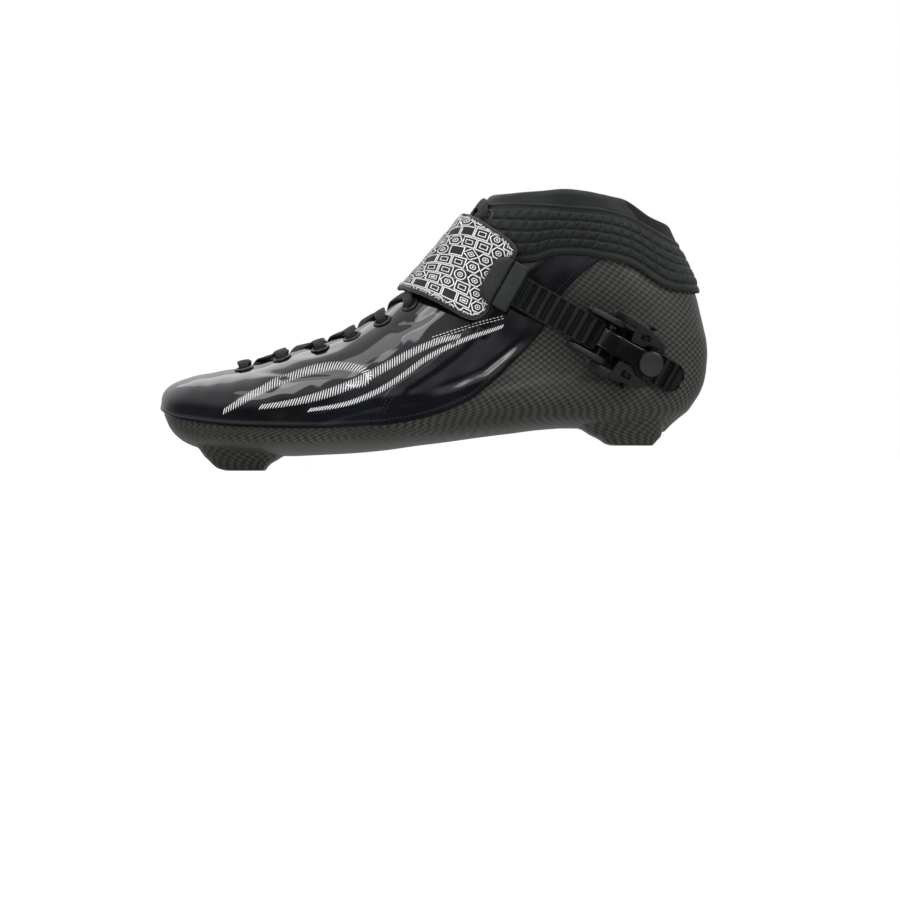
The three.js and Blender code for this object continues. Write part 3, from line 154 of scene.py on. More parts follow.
SHELL_EDGE = [[-142, 33.65], [-136.37, 31.12], [-132.82, 28.84], [-127.77, 26.57], [-117.64, 24.79], [-107.53, 23.53], [-97.41, 22.62], [-87.28, 22.26], [-72.11, 21.86], [-56.92, 21.86], [-41.74, 22.52], [-26.57, 23.38], [-16.45, 24.54], [-6.33, 26.57], [3.79, 29.6], [11.38, 32.64], [18.98, 36.43], [24.04, 39.97], [29.09, 44.27], [34.16, 49.08], [39.22, 54.14], [44.27, 59.2], [49.34, 64.26], [53.38, 69.07], [57.94, 77.17], [62.49, 85.77], [67.55, 91.84], [72.61, 97.15], [77.67, 101.45], [83.74, 105.5], [90.83, 108.54], [99.94, 108.54]]
COLLAR_LOW = [[16, 124], [22, 114], [27.07, 109], [34.16, 105.5], [42.25, 104.24], [50.85, 104.74], [58.44, 107.27], [66.03, 108.03], [77.17, 107.53], [84.75, 106.01], [92.34, 104.64], [98.92, 102.36], [105.0, 98.82], [111.07, 94.62], [116.63, 91.59], [122.7, 90.17], [142, 89.4]]
COLLAR_UP = [[10, 132.7], [26.57, 132.93], [34.16, 133.08], [44.27, 133.33], [54.4, 133.08], [64.52, 132.57], [74.64, 131.81], [84.75, 130.65], [90.83, 129.28], [95.89, 127.51], [100.95, 125.23], [106.01, 122.45], [111.07, 119.42], [116.13, 116.63], [123.21, 113.34], [142, 105.5]]
RIM = [[10, 134.5], [21.0, 136.6], [24.04, 138.49], [26.06, 138.9], [39.22, 139.3], [54.4, 140.16], [64.52, 140.92], [76.66, 139.91], [84.75, 138.39], [90.83, 137.13], [94.88, 136.37], [110.06, 127.26], [118.15, 124.48], [142, 118]]
SEAM = [[26, 80.6], [23.02, 77.17], [14.93, 68.06], [3.79, 57.43], [-6.33, 49.84], [-16.45, 43.26], [-20.49, 40.48], [-24.54, 35.67], [-27.58, 29.6], [-29.6, 23.53], [-30.61, 10]]
edge_z, low_z, up_z, rim_z = pchip(SHELL_EDGE), pchip(COLLAR_LOW), pchip(COLLAR_UP), pchip(RIM)
seam_x = pchip(sorted([[p[1], p[0]] for p in SEAM] + [[112, 52]]))


def smooth(a, b, v):
    t = np.clip((np.asarray(v, float) - a) / (b - a), 0, 1)
    return t * t * (3 - 2 * t)


# arc lengths round the heel at one height and down the side, for patterns that keep their size
class Arcs:
    def __init__(self, side):
        self.z = np.linspace(8, 142, 68); self.tab = []
        for z in self.z:
            xe = float(min(x_back(z), X_HEEL)); lo, hi = X_TOE, xe
            t = (1 - np.cos(np.linspace(0, math.pi, 420))) / 2
            x = lo + (hi - lo) * t
            w = half_width(x, z, side)
            d = np.concatenate([[0], np.cumsum(np.hypot(np.diff(x), np.minimum(np.abs(np.diff(w)), 6.0)))])
            self.tab.append((x, d[-1] - d))
        self.side = side

    def u(self, x, z):
        x, z = np.asarray(x, float), np.asarray(z, float)
        q = np.clip((z - self.z[0]) / (self.z[1] - self.z[0]), 0, len(self.z) - 1.001); i = q.astype(int); f = q - i
        allv = np.stack([np.interp(x.ravel(), t[0], t[1]).reshape(x.shape) for t in self.tab], 0)
        a = np.take_along_axis(allv.reshape(len(self.z), -1), i.reshape(1, -1), 0)[0].reshape(x.shape)
        b = np.take_along_axis(allv.reshape(len(self.z), -1), np.minimum(i + 1, len(self.z) - 1).reshape(1, -1), 0)[0].reshape(x.shape)
        return a * (1 - f) + b * f


ARCS = {-1: Arcs(-1), 1: Arcs(1)}


def pt(x, z, side):
    return np.stack([x, y_mid(x) + side * half_width(x, z, side), z], -1)


# ------------------------------------------------------------------ patches of the surface
class Patch:
    """Points P (n,3) on the surface, faces, and per-point pattern coordinates UV (mm) and side-view X, Z, side."""

    def __init__(self):
        self.P, self.UV, self.XZ, self.F, self.n = [], [], [], [], 0

    def grid(self, X, Z, side, uv=None, flip=False, on_mid=None):
        n, m = X.shape
        P = pt(X, Z, side)
        if on_mid is not None:
            P[..., 1] = np.where(on_mid, y_mid(X), P[..., 1])
        if uv is None:
            uv = np.stack([side * ARCS[side].u(X, Z), Z], -1)
        idx = np.arange(n * m).reshape(n, m) + self.n
        a, b, c, d = idx[:-1, :-1], idx[1:, :-1], idx[1:, 1:], idx[:-1, 1:]
        q = np.stack([a, b, c, d], -1).reshape(-1, 4)
        if (side > 0) != flip:
            q = q[:, ::-1]
        self.P.append(P.reshape(-1, 3)); self.UV.append(uv.reshape(-1, 2)); self.F.append(q); self.n += n * m
        self.XZ.append(np.stack([X, Z, np.full_like(X, side)], -1).reshape(-1, 3))
        return self

    def done(self, tol=1e-3):
        P, UV, XZ, F = np.concatenate(self.P), np.concatenate(self.UV), np.concatenate(self.XZ), np.concatenate(self.F)
        key = np.round(P / tol).astype(np.int64)
        _, first, inv = np.unique(key, axis=0, return_index=True, return_inverse=True)
        inv = inv.ravel()
        self.P, self.XZ = P[first], XZ[first]
        self.loopuv = UV  # per original point
        G = inv[F]
        faces, uvs = [], []
        for f, o in zip(G.tolist(), F.tolist()):
            k = [j for j in range(4) if f[j] != f[j - 1]]
            if len(k) >= 3 and len(set(f[j] for j in k)) == len(k):
                faces.append([f[j] for j in k]); uvs.append([o[j] for j in k])
        self.F, self.FU = faces, uvs
        N = normals(self.P, faces)
        if np.sum(N[:, 1] * (self.P[:, 1] - y_mid(self.P[:, 0]))) < 0:
            faces = [f[::-1] for f in faces]; uvs = [u[::-1] for u in uvs]; N = -N
        self.F, self.FU, self.N = faces, uvs, N
        return self


def normals(P, faces):
    tri = []
    for f in faces:
        tri.append((f[0], f[1], f[2]))
        if len(f) == 4:
            tri.append((f[0], f[2], f[3]))
    tri = np.array(tri)
    c = np.cross(P[tri[:, 1]] - P[tri[:, 0]], P[tri[:, 2]] - P[tri[:, 0]])
    N = np.zeros_like(P)
    for k in range(3):
        np.add.at(N, tri[:, k], c)
    return N / np.maximum(np.linalg.norm(N, axis=1, keepdims=True), 1e-12)


def ring_rows(x, zlo, zhi, side, rows, fr=None):
    """Heights that split each ring evenly between zlo and zhi along the surface, (len(x), rows+1)."""
    K = 90
    t = (1 - np.cos(np.linspace(0, math.pi, K))) / 2
    Z = zlo[:, None] + (zhi - zlo)[:, None] * t
    W = half_width(np.repeat(x[:, None], K, 1), Z, side)
    L = np.concatenate([np.zeros((len(x), 1)), np.cumsum(np.hypot(np.diff(W, axis=1), np.diff(Z, axis=1)), 1)], 1)
    fr = np.linspace(0, 1, rows + 1) if fr is None else fr
    return np.stack([np.interp(fr * L[i, -1], L[i], Z[i]) if L[i, -1] > 1e-9 else np.full(len(fr), zlo[i]) for i in range(len(x))]), L[:, -1]


def thicken(p, out, inn, bulge=None, rim=4, rim_of=None):
    """A closed skin between the offsets out and inn (numbers or per-point arrays) with a rounded rim. Returns points, faces, per-face uv indices."""
    n = len(p.P)
    out = np.broadcast_to(np.asarray(out, float), (n,)); inn = np.broadcast_to(np.asarray(inn, float), (n,))
    A, B = p.P + p.N * out[:, None], p.P + p.N * inn[:, None]
    edges = {}
    for fi, f in enumerate(p.F):
        for j in range(len(f)):
            edges[(f[j - 1], f[j])] = (fi, j)
    border = [(a, b) for (a, b) in edges if (b, a) not in edges]
    dirs = np.zeros((n, 3))
    for a, b in border:
        e = p.P[b] - p.P[a]; e /= max(np.linalg.norm(e), 1e-9)
        for v in (a, b):
            dirs[v] += np.cross(e, p.N[v])
    dirs /= np.maximum(np.linalg.norm(dirs, axis=1, keepdims=True), 1e-9)
    V = [A, B]; faces = [list(f) for f in p.F] + [[v + n for v in reversed(f)] for f in p.F]
    FU = [list(f) for f in p.FU] + [list(reversed(f)) for f in p.FU]
    T = out - inn
    bl = T / 2 if bulge is None else np.minimum(np.broadcast_to(np.asarray(bulge, float), (n,)), T / 2 if np.isscalar(bulge) else 99)
    bv = sorted(set(v for e in border for v in e)); pos = {v: i for i, v in enumerate(bv)}
    extra = []
    for k in range(1, rim):
        th = math.pi * k / rim
        o = (out + inn)[bv] / 2 + T[bv] / 2 * math.cos(th)
        extra.append(p.P[bv] + p.N[bv] * o[:, None] + dirs[bv] * (bl[bv] * math.sin(th))[:, None])
    V += extra
    base = 2 * n; m = len(bv)

    def at(v, k):
        return v if k == 0 else v + n if k == rim else base + (k - 1) * m + pos[v]
    uvof = {}
    for f, u in zip(p.F, p.FU):
        for a, b in zip(f, u):
            uvof.setdefault(a, b)
    for a, b in border:
        for k in range(rim):
            faces.append([at(b, k), at(a, k), at(a, k + 1), at(b, k + 1)])
            FU.append([uvof[b], uvof[a], uvof[a], uvof[b]])
    return np.concatenate(V), faces, FU, border


def mesh(name, V, faces, uv=None, fu=None, sharp=None, raw=False):
    me = bpy.data.meshes.new(name)
    me.from_pydata((np.asarray(V) - CEN if not raw else np.asarray(V)) * 0.001, [], [tuple(f) for f in faces])
    if uv is not None:
        lay = me.uv_layers.new(name="pattern")
        flat = np.concatenate([uv[f] for f in fu]) if fu is not None else np.concatenate([uv[list(f)] for f in faces])
        lay.data.foreach_set("uv", flat.astype(np.float32).ravel())
    me.validate(); me.update()
    me.polygons.foreach_set("use_smooth", [True] * len(me.polygons))
    if sharp:
        me.set_sharp_from_angle(angle=math.radians(sharp))
    o = bpy.data.objects.new(name, me)
    bpy.context.scene.collection.objects.link(o)
    return o


def piece(name, patch, out, inn, mat, body="root", nodes=(), bulge=None, rim=4, sharp=None):
    V, faces, fu, _ = thicken(patch, out, inn, bulge, rim)
    o = mesh(name, V, faces, patch.loopuv, fu, sharp)
    return finish_piece(o, mat, body, nodes)


def finish_piece(o, mat, body="root", nodes=()):
    o.data.materials.clear(); o.data.materials.append(mat)
    if body:
        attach(o, body)
    if nodes:
        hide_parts(*nodes)
    return o


# ------------------------------------------------------------------ single points on the surface
def normal_at(x, y, z):
    def F(a, b, c):
        s = -1 if b < y_mid(a) else 1
        return abs(b - y_mid(a)) - half_width(np.array([a]), np.array([c]), s)[0]
    e = 0.4
    v = np.array([F(x + e, y, z) - F(x - e, y, z), F(x, y + e, z) - F(x, y - e, z), F(x, y, z + e) - F(x, y, z - e)], float)
    return v / np.linalg.norm(v)


def top_dir(x):
    t = np.array([1.0, 0.0, float(z_top(x + 1) - z_top(x - 1)) / 2]); return t / np.linalg.norm(t)


def on_top(x, y):
    s = -1 if y < y_mid(x) else 1
    a = float(z_top(x)); b = max(float(z_sole(x) + rho_sole(x)), float(z_top(x) - rho_top(x)))
    yy = abs(y - float(y_mid(x)))
    zz = np.linspace(b, a, 400); w = half_width(np.full(400, x), zz, s)
    z = float(np.interp(-yy, -w, zz))
    p = np.array([x, y, z])
    if yy < 1.5:
        t = top_dir(x); n = np.array([-t[2], 0, t[0]])
    else:
        n = normal_at(x, y, z)
    return p, n


def on_side(x, z, s, o=0.0):
    y = float(y_mid(x)) + s * float(half_width(np.array([x]), np.array([z]), s)[0])
    n = normal_at(x, y, z)
    return np.array([x, y, z]) + n * o, n


def side_points(x, z, s, off):
    """Many points at once: positions and normals of side-view points."""
    x, z = np.asarray(x, float), np.asarray(z, float); e = 0.3
    y = y_mid(x) + s * half_width(x, z, s)
    gx = s * (y_mid(x + e) - y_mid(x - e)) * -1 - (half_width(x + e, z, s) - half_width(x - e, z, s))
    gz = -(half_width(x, z + e, s) - half_width(x, z - e, s))
    gy = np.full_like(x, 2 * e)
    n = np.stack([gx, s * gy, gz], -1); n /= np.linalg.norm(n, axis=1, keepdims=True)
    return np.stack([x, y, z], -1) + n * np.asarray(off, float).reshape(-1, 1) if np.ndim(off) else np.stack([x, y, z], -1) + n * off, n


# ------------------------------------------------------------------ strips, tubes and stitches
def resample(Q, step):
    Q = np.asarray(Q, float); d = np.concatenate([[0], np.cumsum(np.linalg.norm(np.diff(Q, axis=0), axis=1))])
    n = max(2, int(round(d[-1] / step)) + 1); s = np.linspace(0, d[-1], n)
    return np.stack([np.interp(s, d, Q[:, k]) for k in range(Q.shape[1])], -1)


def tube(P, W, Nn, prof, closed_ends=True):
    """Sweeps a profile [(across, up), ...] (counter-clockwise) along P; W is the across direction, Nn the up direction."""
    m = len(prof); n = len(P)
    V = np.concatenate([P[:, None, :] + W[:, None, :] * prof[None, :, 0:1] + Nn[:, None, :] * prof[None, :, 1:2]]).reshape(-1, 3)
    F = []
    for i in range(n - 1):
        for j in range(m):
            k = (j + 1) % m
            F.append([i * m + j, i * m + k, (i + 1) * m + k, (i + 1) * m + j])
    F.append(list(range(m))[::-1]); F.append([(n - 1) * m + j for j in range(m)])
    return V, F


def fix_winding(V, F):
    vol = 0.0
    for f in F:
        for j in range(1, len(f) - 1):
            a, b, c = V[f[0]], V[f[j]], V[f[j + 1]]
            vol += float(np.dot(a, np.cross(b, c)))
    return [f[::-1] for f in F] if vol < 0 else F


class Bits:
    """Many small closed solids gathered in one mesh."""

    def __init__(self):
        self.V, self.F, self.n = [], [], 0

    def add(self, V, F):
        self.V.append(V); self.F += [[v + self.n for v in f] for f in F]; self.n += len(V)

    def stitch(self, a, b, n, width, height, sink=0.25):
        """A thread lying from a to b with normal n: a lozenge that dives in at both ends."""
        t = b - a; L = np.linalg.norm(t)
        if L < 1e-6:
            return
        t = t / L; w = np.cross(n, t); w /= max(np.linalg.norm(w), 1e-9)
        rows = []
        for f, r in ((0, 0.35), (0.18, 0.85), (0.5, 1.0), (0.82, 0.85), (1, 0.35)):
            c = a + (b - a) * f + n * (height * (0.5 - (2 * f - 1) ** 2 * 0.55) - (sink if r < 0.5 else 0))
            rows.append([c + w * width / 2 * r * math.cos(q) + n * height / 2 * r * math.sin(q) for q in np.linspace(0, 2 * math.pi, 6, endpoint=False)])
        V = np.array(rows).reshape(-1, 3); F = []
        for i in range(4):
            for j in range(6):
                k = (j + 1) % 6
                F.append([i * 6 + j, i * 6 + k, i * 6 + 6 + k, i * 6 + 6 + j])
        F.append([5, 4, 3, 2, 1, 0]); F.append([24 + j for j in range(6)])
        if np.dot(np.cross(V[1] - V[0], V[6] - V[0]), V[0] - (V[:6].mean(0))) < 0:
            F = [f[::-1] for f in F]
        self.add(V, F)

    def row(self, Q, N, pitch, length, width=0.7, height=0.5):
        d = np.concatenate([[0], np.cumsum(np.linalg.norm(np.diff(Q, axis=0), axis=1))])
        k = int(d[-1] / pitch)
        for i in range(k):
            s0, s1 = (i + 0.5) * pitch - length / 2, (i + 0.5) * pitch + length / 2
            a = np.array([np.interp(s0, d, Q[:, c]) for c in range(3)]); b = np.array([np.interp(s1, d, Q[:, c]) for c in range(3)])
            n = np.array([np.interp((s0 + s1) / 2, d, N[:, c]) for c in range(3)]); n /= np.linalg.norm(n)
            self.stitch(a, b, n, width, height)

    def make(self, name):
        return mesh(name, np.concatenate(self.V), self.F)


# ------------------------------------------------------------------ materials
class Mat:
    """A node material built with short calls. Numbers in millimetres come from the pattern coordinates."""

    def __init__(self, name, color, rough, **k):
        self.m = bpy.data.materials.new(name); self.m.use_nodes = True
        self.nt = self.m.node_tree; self.b = self.nt.nodes["Principled BSDF"]
        self.b.inputs["Base Color"].default_value = (*color, 1); self.b.inputs["Roughness"].default_value = rough
        self.b.inputs["Specular IOR Level"].default_value = 0.30
        for key, v in k.items():
            self.b.inputs[{"metal": "Metallic", "coat": "Coat Weight", "coat_rough": "Coat Roughness", "sheen": "Sheen Weight", "sheen_rough": "Sheen Roughness", "spec": "Specular IOR Level", "ior": "IOR", "aniso": "Anisotropic"}[key]].default_value = v
        self.tc = self.nt.nodes.new("ShaderNodeTexCoord")

    def node(self, kind, **k):
        n = self.nt.nodes.new(kind)
        for a, v in k.items():
            if hasattr(n, a) and a not in ("inputs",):
                setattr(n, a, v)
        return n

    def link(self, a, b):
        self.nt.links.new(a, b)

    def put(self, sock, v):
        if hasattr(v, "is_output") or isinstance(v, bpy.types.NodeSocket):
            self.link(v, sock)
        else:
            sock.default_value = v

    def math(self, op, a, b=0.0, c=0.0, clamp=False):
        n = self.node("ShaderNodeMath", operation=op); n.use_clamp = clamp
        for i, v in enumerate((a, b, c)):
            self.put(n.inputs[i], v)
        return n.outputs[0]

    def uv(self):
        s = self.node("ShaderNodeSeparateXYZ"); self.link(self.tc.outputs["UV"], s.inputs[0])
        return s.outputs[0], s.outputs[1]

    def obj(self):
        s = self.node("ShaderNodeSeparateXYZ"); self.link(self.tc.outputs["Object"], s.inputs[0])
        return s.outputs[0], s.outputs[1], s.outputs[2]

    def noise(self, scale, detail=2.0, vec=None, rough=0.5):
        n = self.node("ShaderNodeTexNoise"); n.inputs["Scale"].default_value = scale; n.inputs["Detail"].default_value = detail; n.inputs["Roughness"].default_value = rough
        self.link(vec if vec is not None else self.tc.outputs["Object"], n.inputs["Vector"])
        return n.outputs["Fac"]

    def vec(self, x, y, z=0.0):
        n = self.node("ShaderNodeCombineXYZ")
        for i, v in enumerate((x, y, z)):
            self.put(n.inputs[i], v)
        return n.outputs[0]

    def remap(self, v, a, b, c, d):
        n = self.node("ShaderNodeMapRange"); n.clamp = True
        self.link(v, n.inputs[0])
        for i, q in enumerate((a, b, c, d)):
            n.inputs[i + 1].default_value = q
        return n.outputs[0]

    def mix(self, f, a, b):
        n = self.node("ShaderNodeMix", data_type="RGBA")
        self.put(n.inputs[0], f)
        for i, v in ((6, a), (7, b)):
            if isinstance(v, tuple):
                n.inputs[i].default_value = (*v, 1)
            else:
                self.link(v, n.inputs[i])
        return n.outputs[2]

    def color(self, v):
        self.link(v, self.b.inputs["Base Color"])

    def rough(self, v):
        self.link(v, self.b.inputs["Roughness"])

    def bump(self, h, dist_mm, strength=1.0, coat=False, prev=None):
        n = self.node("ShaderNodeBump"); n.inputs["Strength"].default_value = strength; n.inputs["Distance"].default_value = dist_mm * 0.001
        self.link(h, n.inputs["Height"])
        if prev is not None:
            self.link(prev, n.inputs["Normal"])
        self.link(n.outputs[0], self.b.inputs["Normal"])
        if coat:
            self.link(n.outputs[0], self.b.inputs["Coat Normal"])
        return n.outputs[0]


def weave(M, u, v, pitch, twill=True):
    """Height of a woven cloth and which of the two yarns is on top."""
    a, b = M.math("DIVIDE", u, pitch), M.math("DIVIDE", v, pitch)
    ia, ib = M.math("FLOOR", a), M.math("FLOOR", b)
    s = M.math("ADD", ia, ib)
    sel = M.math("LESS_THAN", M.math("FLOORED_MODULO", s, 4.0 if twill else 2.0), 2.0 if twill else 1.0)
    fa, fb = M.math("FRACT", a), M.math("FRACT", b)

    def crown(f):
        t = M.math("SUBTRACT", M.math("MULTIPLY", f, 2.0), 1.0)
        return M.math("SQRT", M.math("MAXIMUM", M.math("SUBTRACT", 1.0, M.math("MULTIPLY", t, t)), 0.0))
    h = M.math("ADD", M.math("MULTIPLY", crown(fa), sel), M.math("MULTIPLY", crown(fb), M.math("SUBTRACT", 1.0, sel)))
    return h, sel


def mat_carbon():
    M = Mat("carbon_laminate", (0.02, 0.021, 0.018), 0.42, coat=0.35, coat_rough=0.20, spec=0.3)
    u, v = M.uv()
    wob = M.math("MULTIPLY", M.math("SUBTRACT", M.noise(45.0, 2.0), 0.5), 2.0)
    h, sel = weave(M, M.math("ADD", u, wob), M.math("MULTIPLY", M.math("ADD", v, M.math("MULTIPLY", wob, 0.5)), 1.32), 2.05, False)
    fib = M.noise(1.0, 3.0, M.vec(M.math("MULTIPLY", u, 5.0), M.math("MULTIPLY", v, 0.8)))
    fib2 = M.noise(1.0, 3.0, M.vec(M.math("MULTIPLY", u, 0.8), M.math("MULTIPLY", v, 5.0)))
    grain = M.math("ADD", M.math("MULTIPLY", fib, sel), M.math("MULTIPLY", fib2, M.math("SUBTRACT", 1.0, sel)))
    # painted light: warp cells are painted lighter than weft cells to stand in for the sheen that follows fibre
    # direction, and each tow is painted darker towards its edges as painted shade; the fibre noise is real grain
    grain_and_painted_weave_light = M.math("ADD", M.math("MULTIPLY", sel, 0.60), M.math("MULTIPLY", grain, 0.35))
    grain_and_painted_weave_light = M.math("MULTIPLY", grain_and_painted_weave_light, M.remap(h, 0.0, 0.6, 0.25, 1.0))
    patch = M.noise(22.0, 2.0)
    c = M.mix(grain_and_painted_weave_light, (0.0085, 0.0090, 0.0078), (0.074, 0.076, 0.062))
    c = M.mix(M.remap(patch, 0.35, 0.7, 0.0, 0.45), c, (0.022, 0.023, 0.020))
    M.color(c)
    M.rough(M.remap(grain, 0.3, 0.7, 0.34, 0.50))
    M.bump(h, 0.10, 0.6)
    return M.m


def mat_patent():
    M = Mat("patent_leather", (0.0045, 0.0050, 0.0078), 0.08, coat=0.6, coat_rough=0.04, spec=0.5)
    c = M.mix(M.remap(M.noise(35.0, 3.0), 0.35, 0.7, 0.0, 1.0), (0.0035, 0.0038, 0.0050), (0.0060, 0.0066, 0.0105))
    M.color(c)
    M.rough(M.remap(M.noise(60.0, 2.0), 0.3, 0.8, 0.07, 0.13))
    x, y, z = M.obj()
    long = M.noise(1.0, 1.0, M.vec(M.math("MULTIPLY", x, 22.0), M.math("MULTIPLY", y, 40.0), M.math("MULTIPLY", z, 55.0)))
    M.bump(long, 0.55, 0.35, coat=True)
    return M.m


def mat_leather(name, a, b, r0, r1, grain=900.0, depth=0.12, sheen=0.0):
    M = Mat(name, a, r0, sheen=sheen, sheen_rough=0.5)
    v = M.node("ShaderNodeTexVoronoi"); v.feature = "DISTANCE_TO_EDGE"; v.inputs["Scale"].default_value = grain
    M.link(M.tc.outputs["Object"], v.inputs["Vector"])
    g = M.remap(v.outputs["Distance"], 0.0, 0.25, 0.0, 1.0)
    n = M.noise(60.0, 4.0)
    M.color(M.mix(M.math("ADD", M.math("MULTIPLY", g, 0.4), M.math("MULTIPLY", n, 0.6)), a, b))
    M.rough(M.remap(n, 0.3, 0.7, r0, r1))
    M.bump(M.math("ADD", g, M.math("MULTIPLY", M.noise(2500.0, 2.0), 0.5)), depth, 0.5)
    return M.m


def mat_cloth(name, a, b, pitch, r0=0.75, depth=0.15, sheen=0.25, twill=False, obj=False):
    M = Mat(name, a, r0, sheen=sheen, sheen_rough=0.45)
    if obj:
        x, y, z = M.obj()
        u = M.math("MULTIPLY", M.math("ADD", x, y), 1000.0); v = M.math("MULTIPLY", z, 1000.0)
    else:
        u, v = M.uv()
    h, sel = weave(M, u, v, pitch, twill)
    n = M.noise(40.0, 3.0)
    # painted light and shade: each yarn is painted lighter on its crown and darker on its flanks and between yarns,
    # mixed with random tone noise
    t = M.math("ADD", M.math("MULTIPLY", h, 0.7), M.math("MULTIPLY", n, 0.3))
    M.color(M.mix(t, a, b)); M.rough(M.remap(n, 0.3, 0.7, r0, min(1.0, r0 + 0.12)))
    M.bump(h, depth, 0.7)
    return M.m


def mat_plastic(name, a, b, r0, r1, speck=1500.0, depth=0.03, coat=0.0, metal=0.0):
    M = Mat(name, a, r0, coat=coat, coat_rough=0.12, metal=metal)
    n = M.noise(speck, 3.0); w = M.noise(45.0, 3.0)
    M.color(M.mix(M.remap(w, 0.3, 0.7, 0.0, 1.0), a, b)); M.rough(M.remap(M.math("ADD", M.math("MULTIPLY", n, 0.5), M.math("MULTIPLY", w, 0.5)), 0.35, 0.65, r0, r1))
    M.bump(n, depth, 0.5)
    return M.m


def mat_metal(name, a, b, r0, r1):
    M = Mat(name, a, r0, metal=1.0)
    x, y, z = M.obj()
    n = M.noise(1.0, 3.0, M.vec(M.math("MULTIPLY", x, 300.0), M.math("MULTIPLY", y, 300.0), M.math("MULTIPLY", z, 4000.0))); w = M.noise(70.0, 3.0)
    M.color(M.mix(w, a, b)); M.rough(M.remap(n, 0.3, 0.7, r0, r1)); M.bump(n, 0.02, 0.4)
    return M.m


def mat_print():
    """Black tape with rows of nested white outlines: squares, lozenges, rings and bars."""
    M = Mat("strap_print", (0.012, 0.013, 0.015), 0.55)
    u, v = M.uv()
    PV, PU = 5.8, 6.6
    rv = M.math("DIVIDE", v, PV); iv = M.math("FLOOR", rv)
    off = M.math("MULTIPLY", M.math("FRACT", M.math("MULTIPLY", iv, 0.618)), 1.0)
    ru = M.math("ADD", M.math("DIVIDE", u, PU), off); iu = M.math("FLOOR", ru)
    x = M.math("MULTIPLY", M.math("SUBTRACT", M.math("FRACT", ru), 0.5), PU); y = M.math("MULTIPLY", M.math("SUBTRACT", M.math("FRACT", rv), 0.5), PV)
    ax, ay = M.math("ABSOLUTE", x), M.math("ABSOLUTE", y)
    wn = M.node("ShaderNodeTexWhiteNoise", noise_dimensions="2D"); M.link(M.vec(iu, iv), wn.inputs["Vector"])
    r = wn.outputs["Value"]
    box = M.math("MAXIMUM", M.math("SUBTRACT", ax, 0.50), ay)
    dia = M.math("MULTIPLY", M.math("ADD", M.math("MULTIPLY", ax, 0.85), ay), 0.80)
    cir = M.math("SQRT", M.math("ADD", M.math("MULTIPLY", ax, ax), M.math("MULTIPLY", ay, ay)))
    hexa = M.math("MAXIMUM", M.math("ADD", M.math("MULTIPLY", ax, 0.80), M.math("MULTIPLY", ay, 0.46)), M.math("MULTIPLY", ay, 1.0))
    s1 = M.math("LESS_THAN", r, 0.50); s2 = M.math("LESS_THAN", r, 0.80); s3 = M.math("LESS_THAN", r, 0.90)

    def pick(sel, a, b):
        return M.math("ADD", M.math("MULTIPLY", a, sel), M.math("MULTIPLY", b, M.math("SUBTRACT", 1.0, sel)))
    d = pick(s1, box, pick(s2, hexa, pick(s3, dia, cir)))

    def line(d, at, w):
        return M.math("SUBTRACT", 1.0, M.remap(M.math("ABSOLUTE", M.math("SUBTRACT", d, at)), w * 0.5 - 0.06, w * 0.5 + 0.06, 0.0, 1.0))
    m = M.math("MAXIMUM", line(d, 2.45, 0.42), M.math("MULTIPLY", line(d, 1.05, 0.34), M.math("GREATER_THAN", r, 0.22)))
    dot = M.math("SUBTRACT", 1.0, M.remap(d, 0.30, 0.44, 0.0, 1.0))
    m = M.math("MAXIMUM", m, M.math("MULTIPLY", dot, M.math("GREATER_THAN", wn.outputs["Value"], 0.42)))
    m = M.math("MAXIMUM", m, M.math("MULTIPLY", line(ay, PV / 2, 0.16), 0.5))
    fray = M.noise(2200.0, 3.0)
    m = M.math("MULTIPLY", m, M.remap(fray, 0.30, 0.45, 0.55, 1.0))
    hh, sel = weave(M, u, v, 0.42, False)
    # painted shade: the black tape and the white print are both lighter on the crowns of the fine weave and darker
    # between its yarns
    M.color(M.mix(m, M.mix(hh, (0.006, 0.006, 0.008), (0.016, 0.017, 0.021)), M.mix(hh, (0.72, 0.72, 0.72), (0.94, 0.94, 0.94))))
    M.rough(M.remap(m, 0.0, 1.0, 0.50, 0.68))
    M.bump(M.math("ADD", M.math("MULTIPLY", hh, 0.5), M.math("MULTIPLY", m, 0.6)), 0.10, 0.6)
    return M.m


def mat_braid():
    M = Mat("lace_cord", (0.012, 0.012, 0.013), 0.6, sheen=0.12, sheen_rough=0.4)
    u, v = M.uv()
    s = M.math("ABSOLUTE", M.math("SUBTRACT", v, 0.5))
    ph = M.math("ADD", M.math("MULTIPLY", u, 0.72), M.math("MULTIPLY", s, 3.0))
    h = M.math("ABSOLUTE", M.math("SINE", M.math("MULTIPLY", ph, math.pi)))
    n = M.noise(1800.0, 3.0)
    # painted light and shade: the braid's strands are lighter on their crowns and darker in the grooves between them,
    # varied by random noise
    M.color(M.mix(M.math("MULTIPLY", h, M.remap(n, 0.3, 0.7, 0.6, 1.0)), (0.006, 0.006, 0.007), (0.034, 0.035, 0.036)))
    M.rough(M.remap(n, 0.3, 0.7, 0.5, 0.72)); M.bump(M.math("ADD", h, M.math("MULTIPLY", n, 0.3)), 0.14, 0.7)
    return M.m


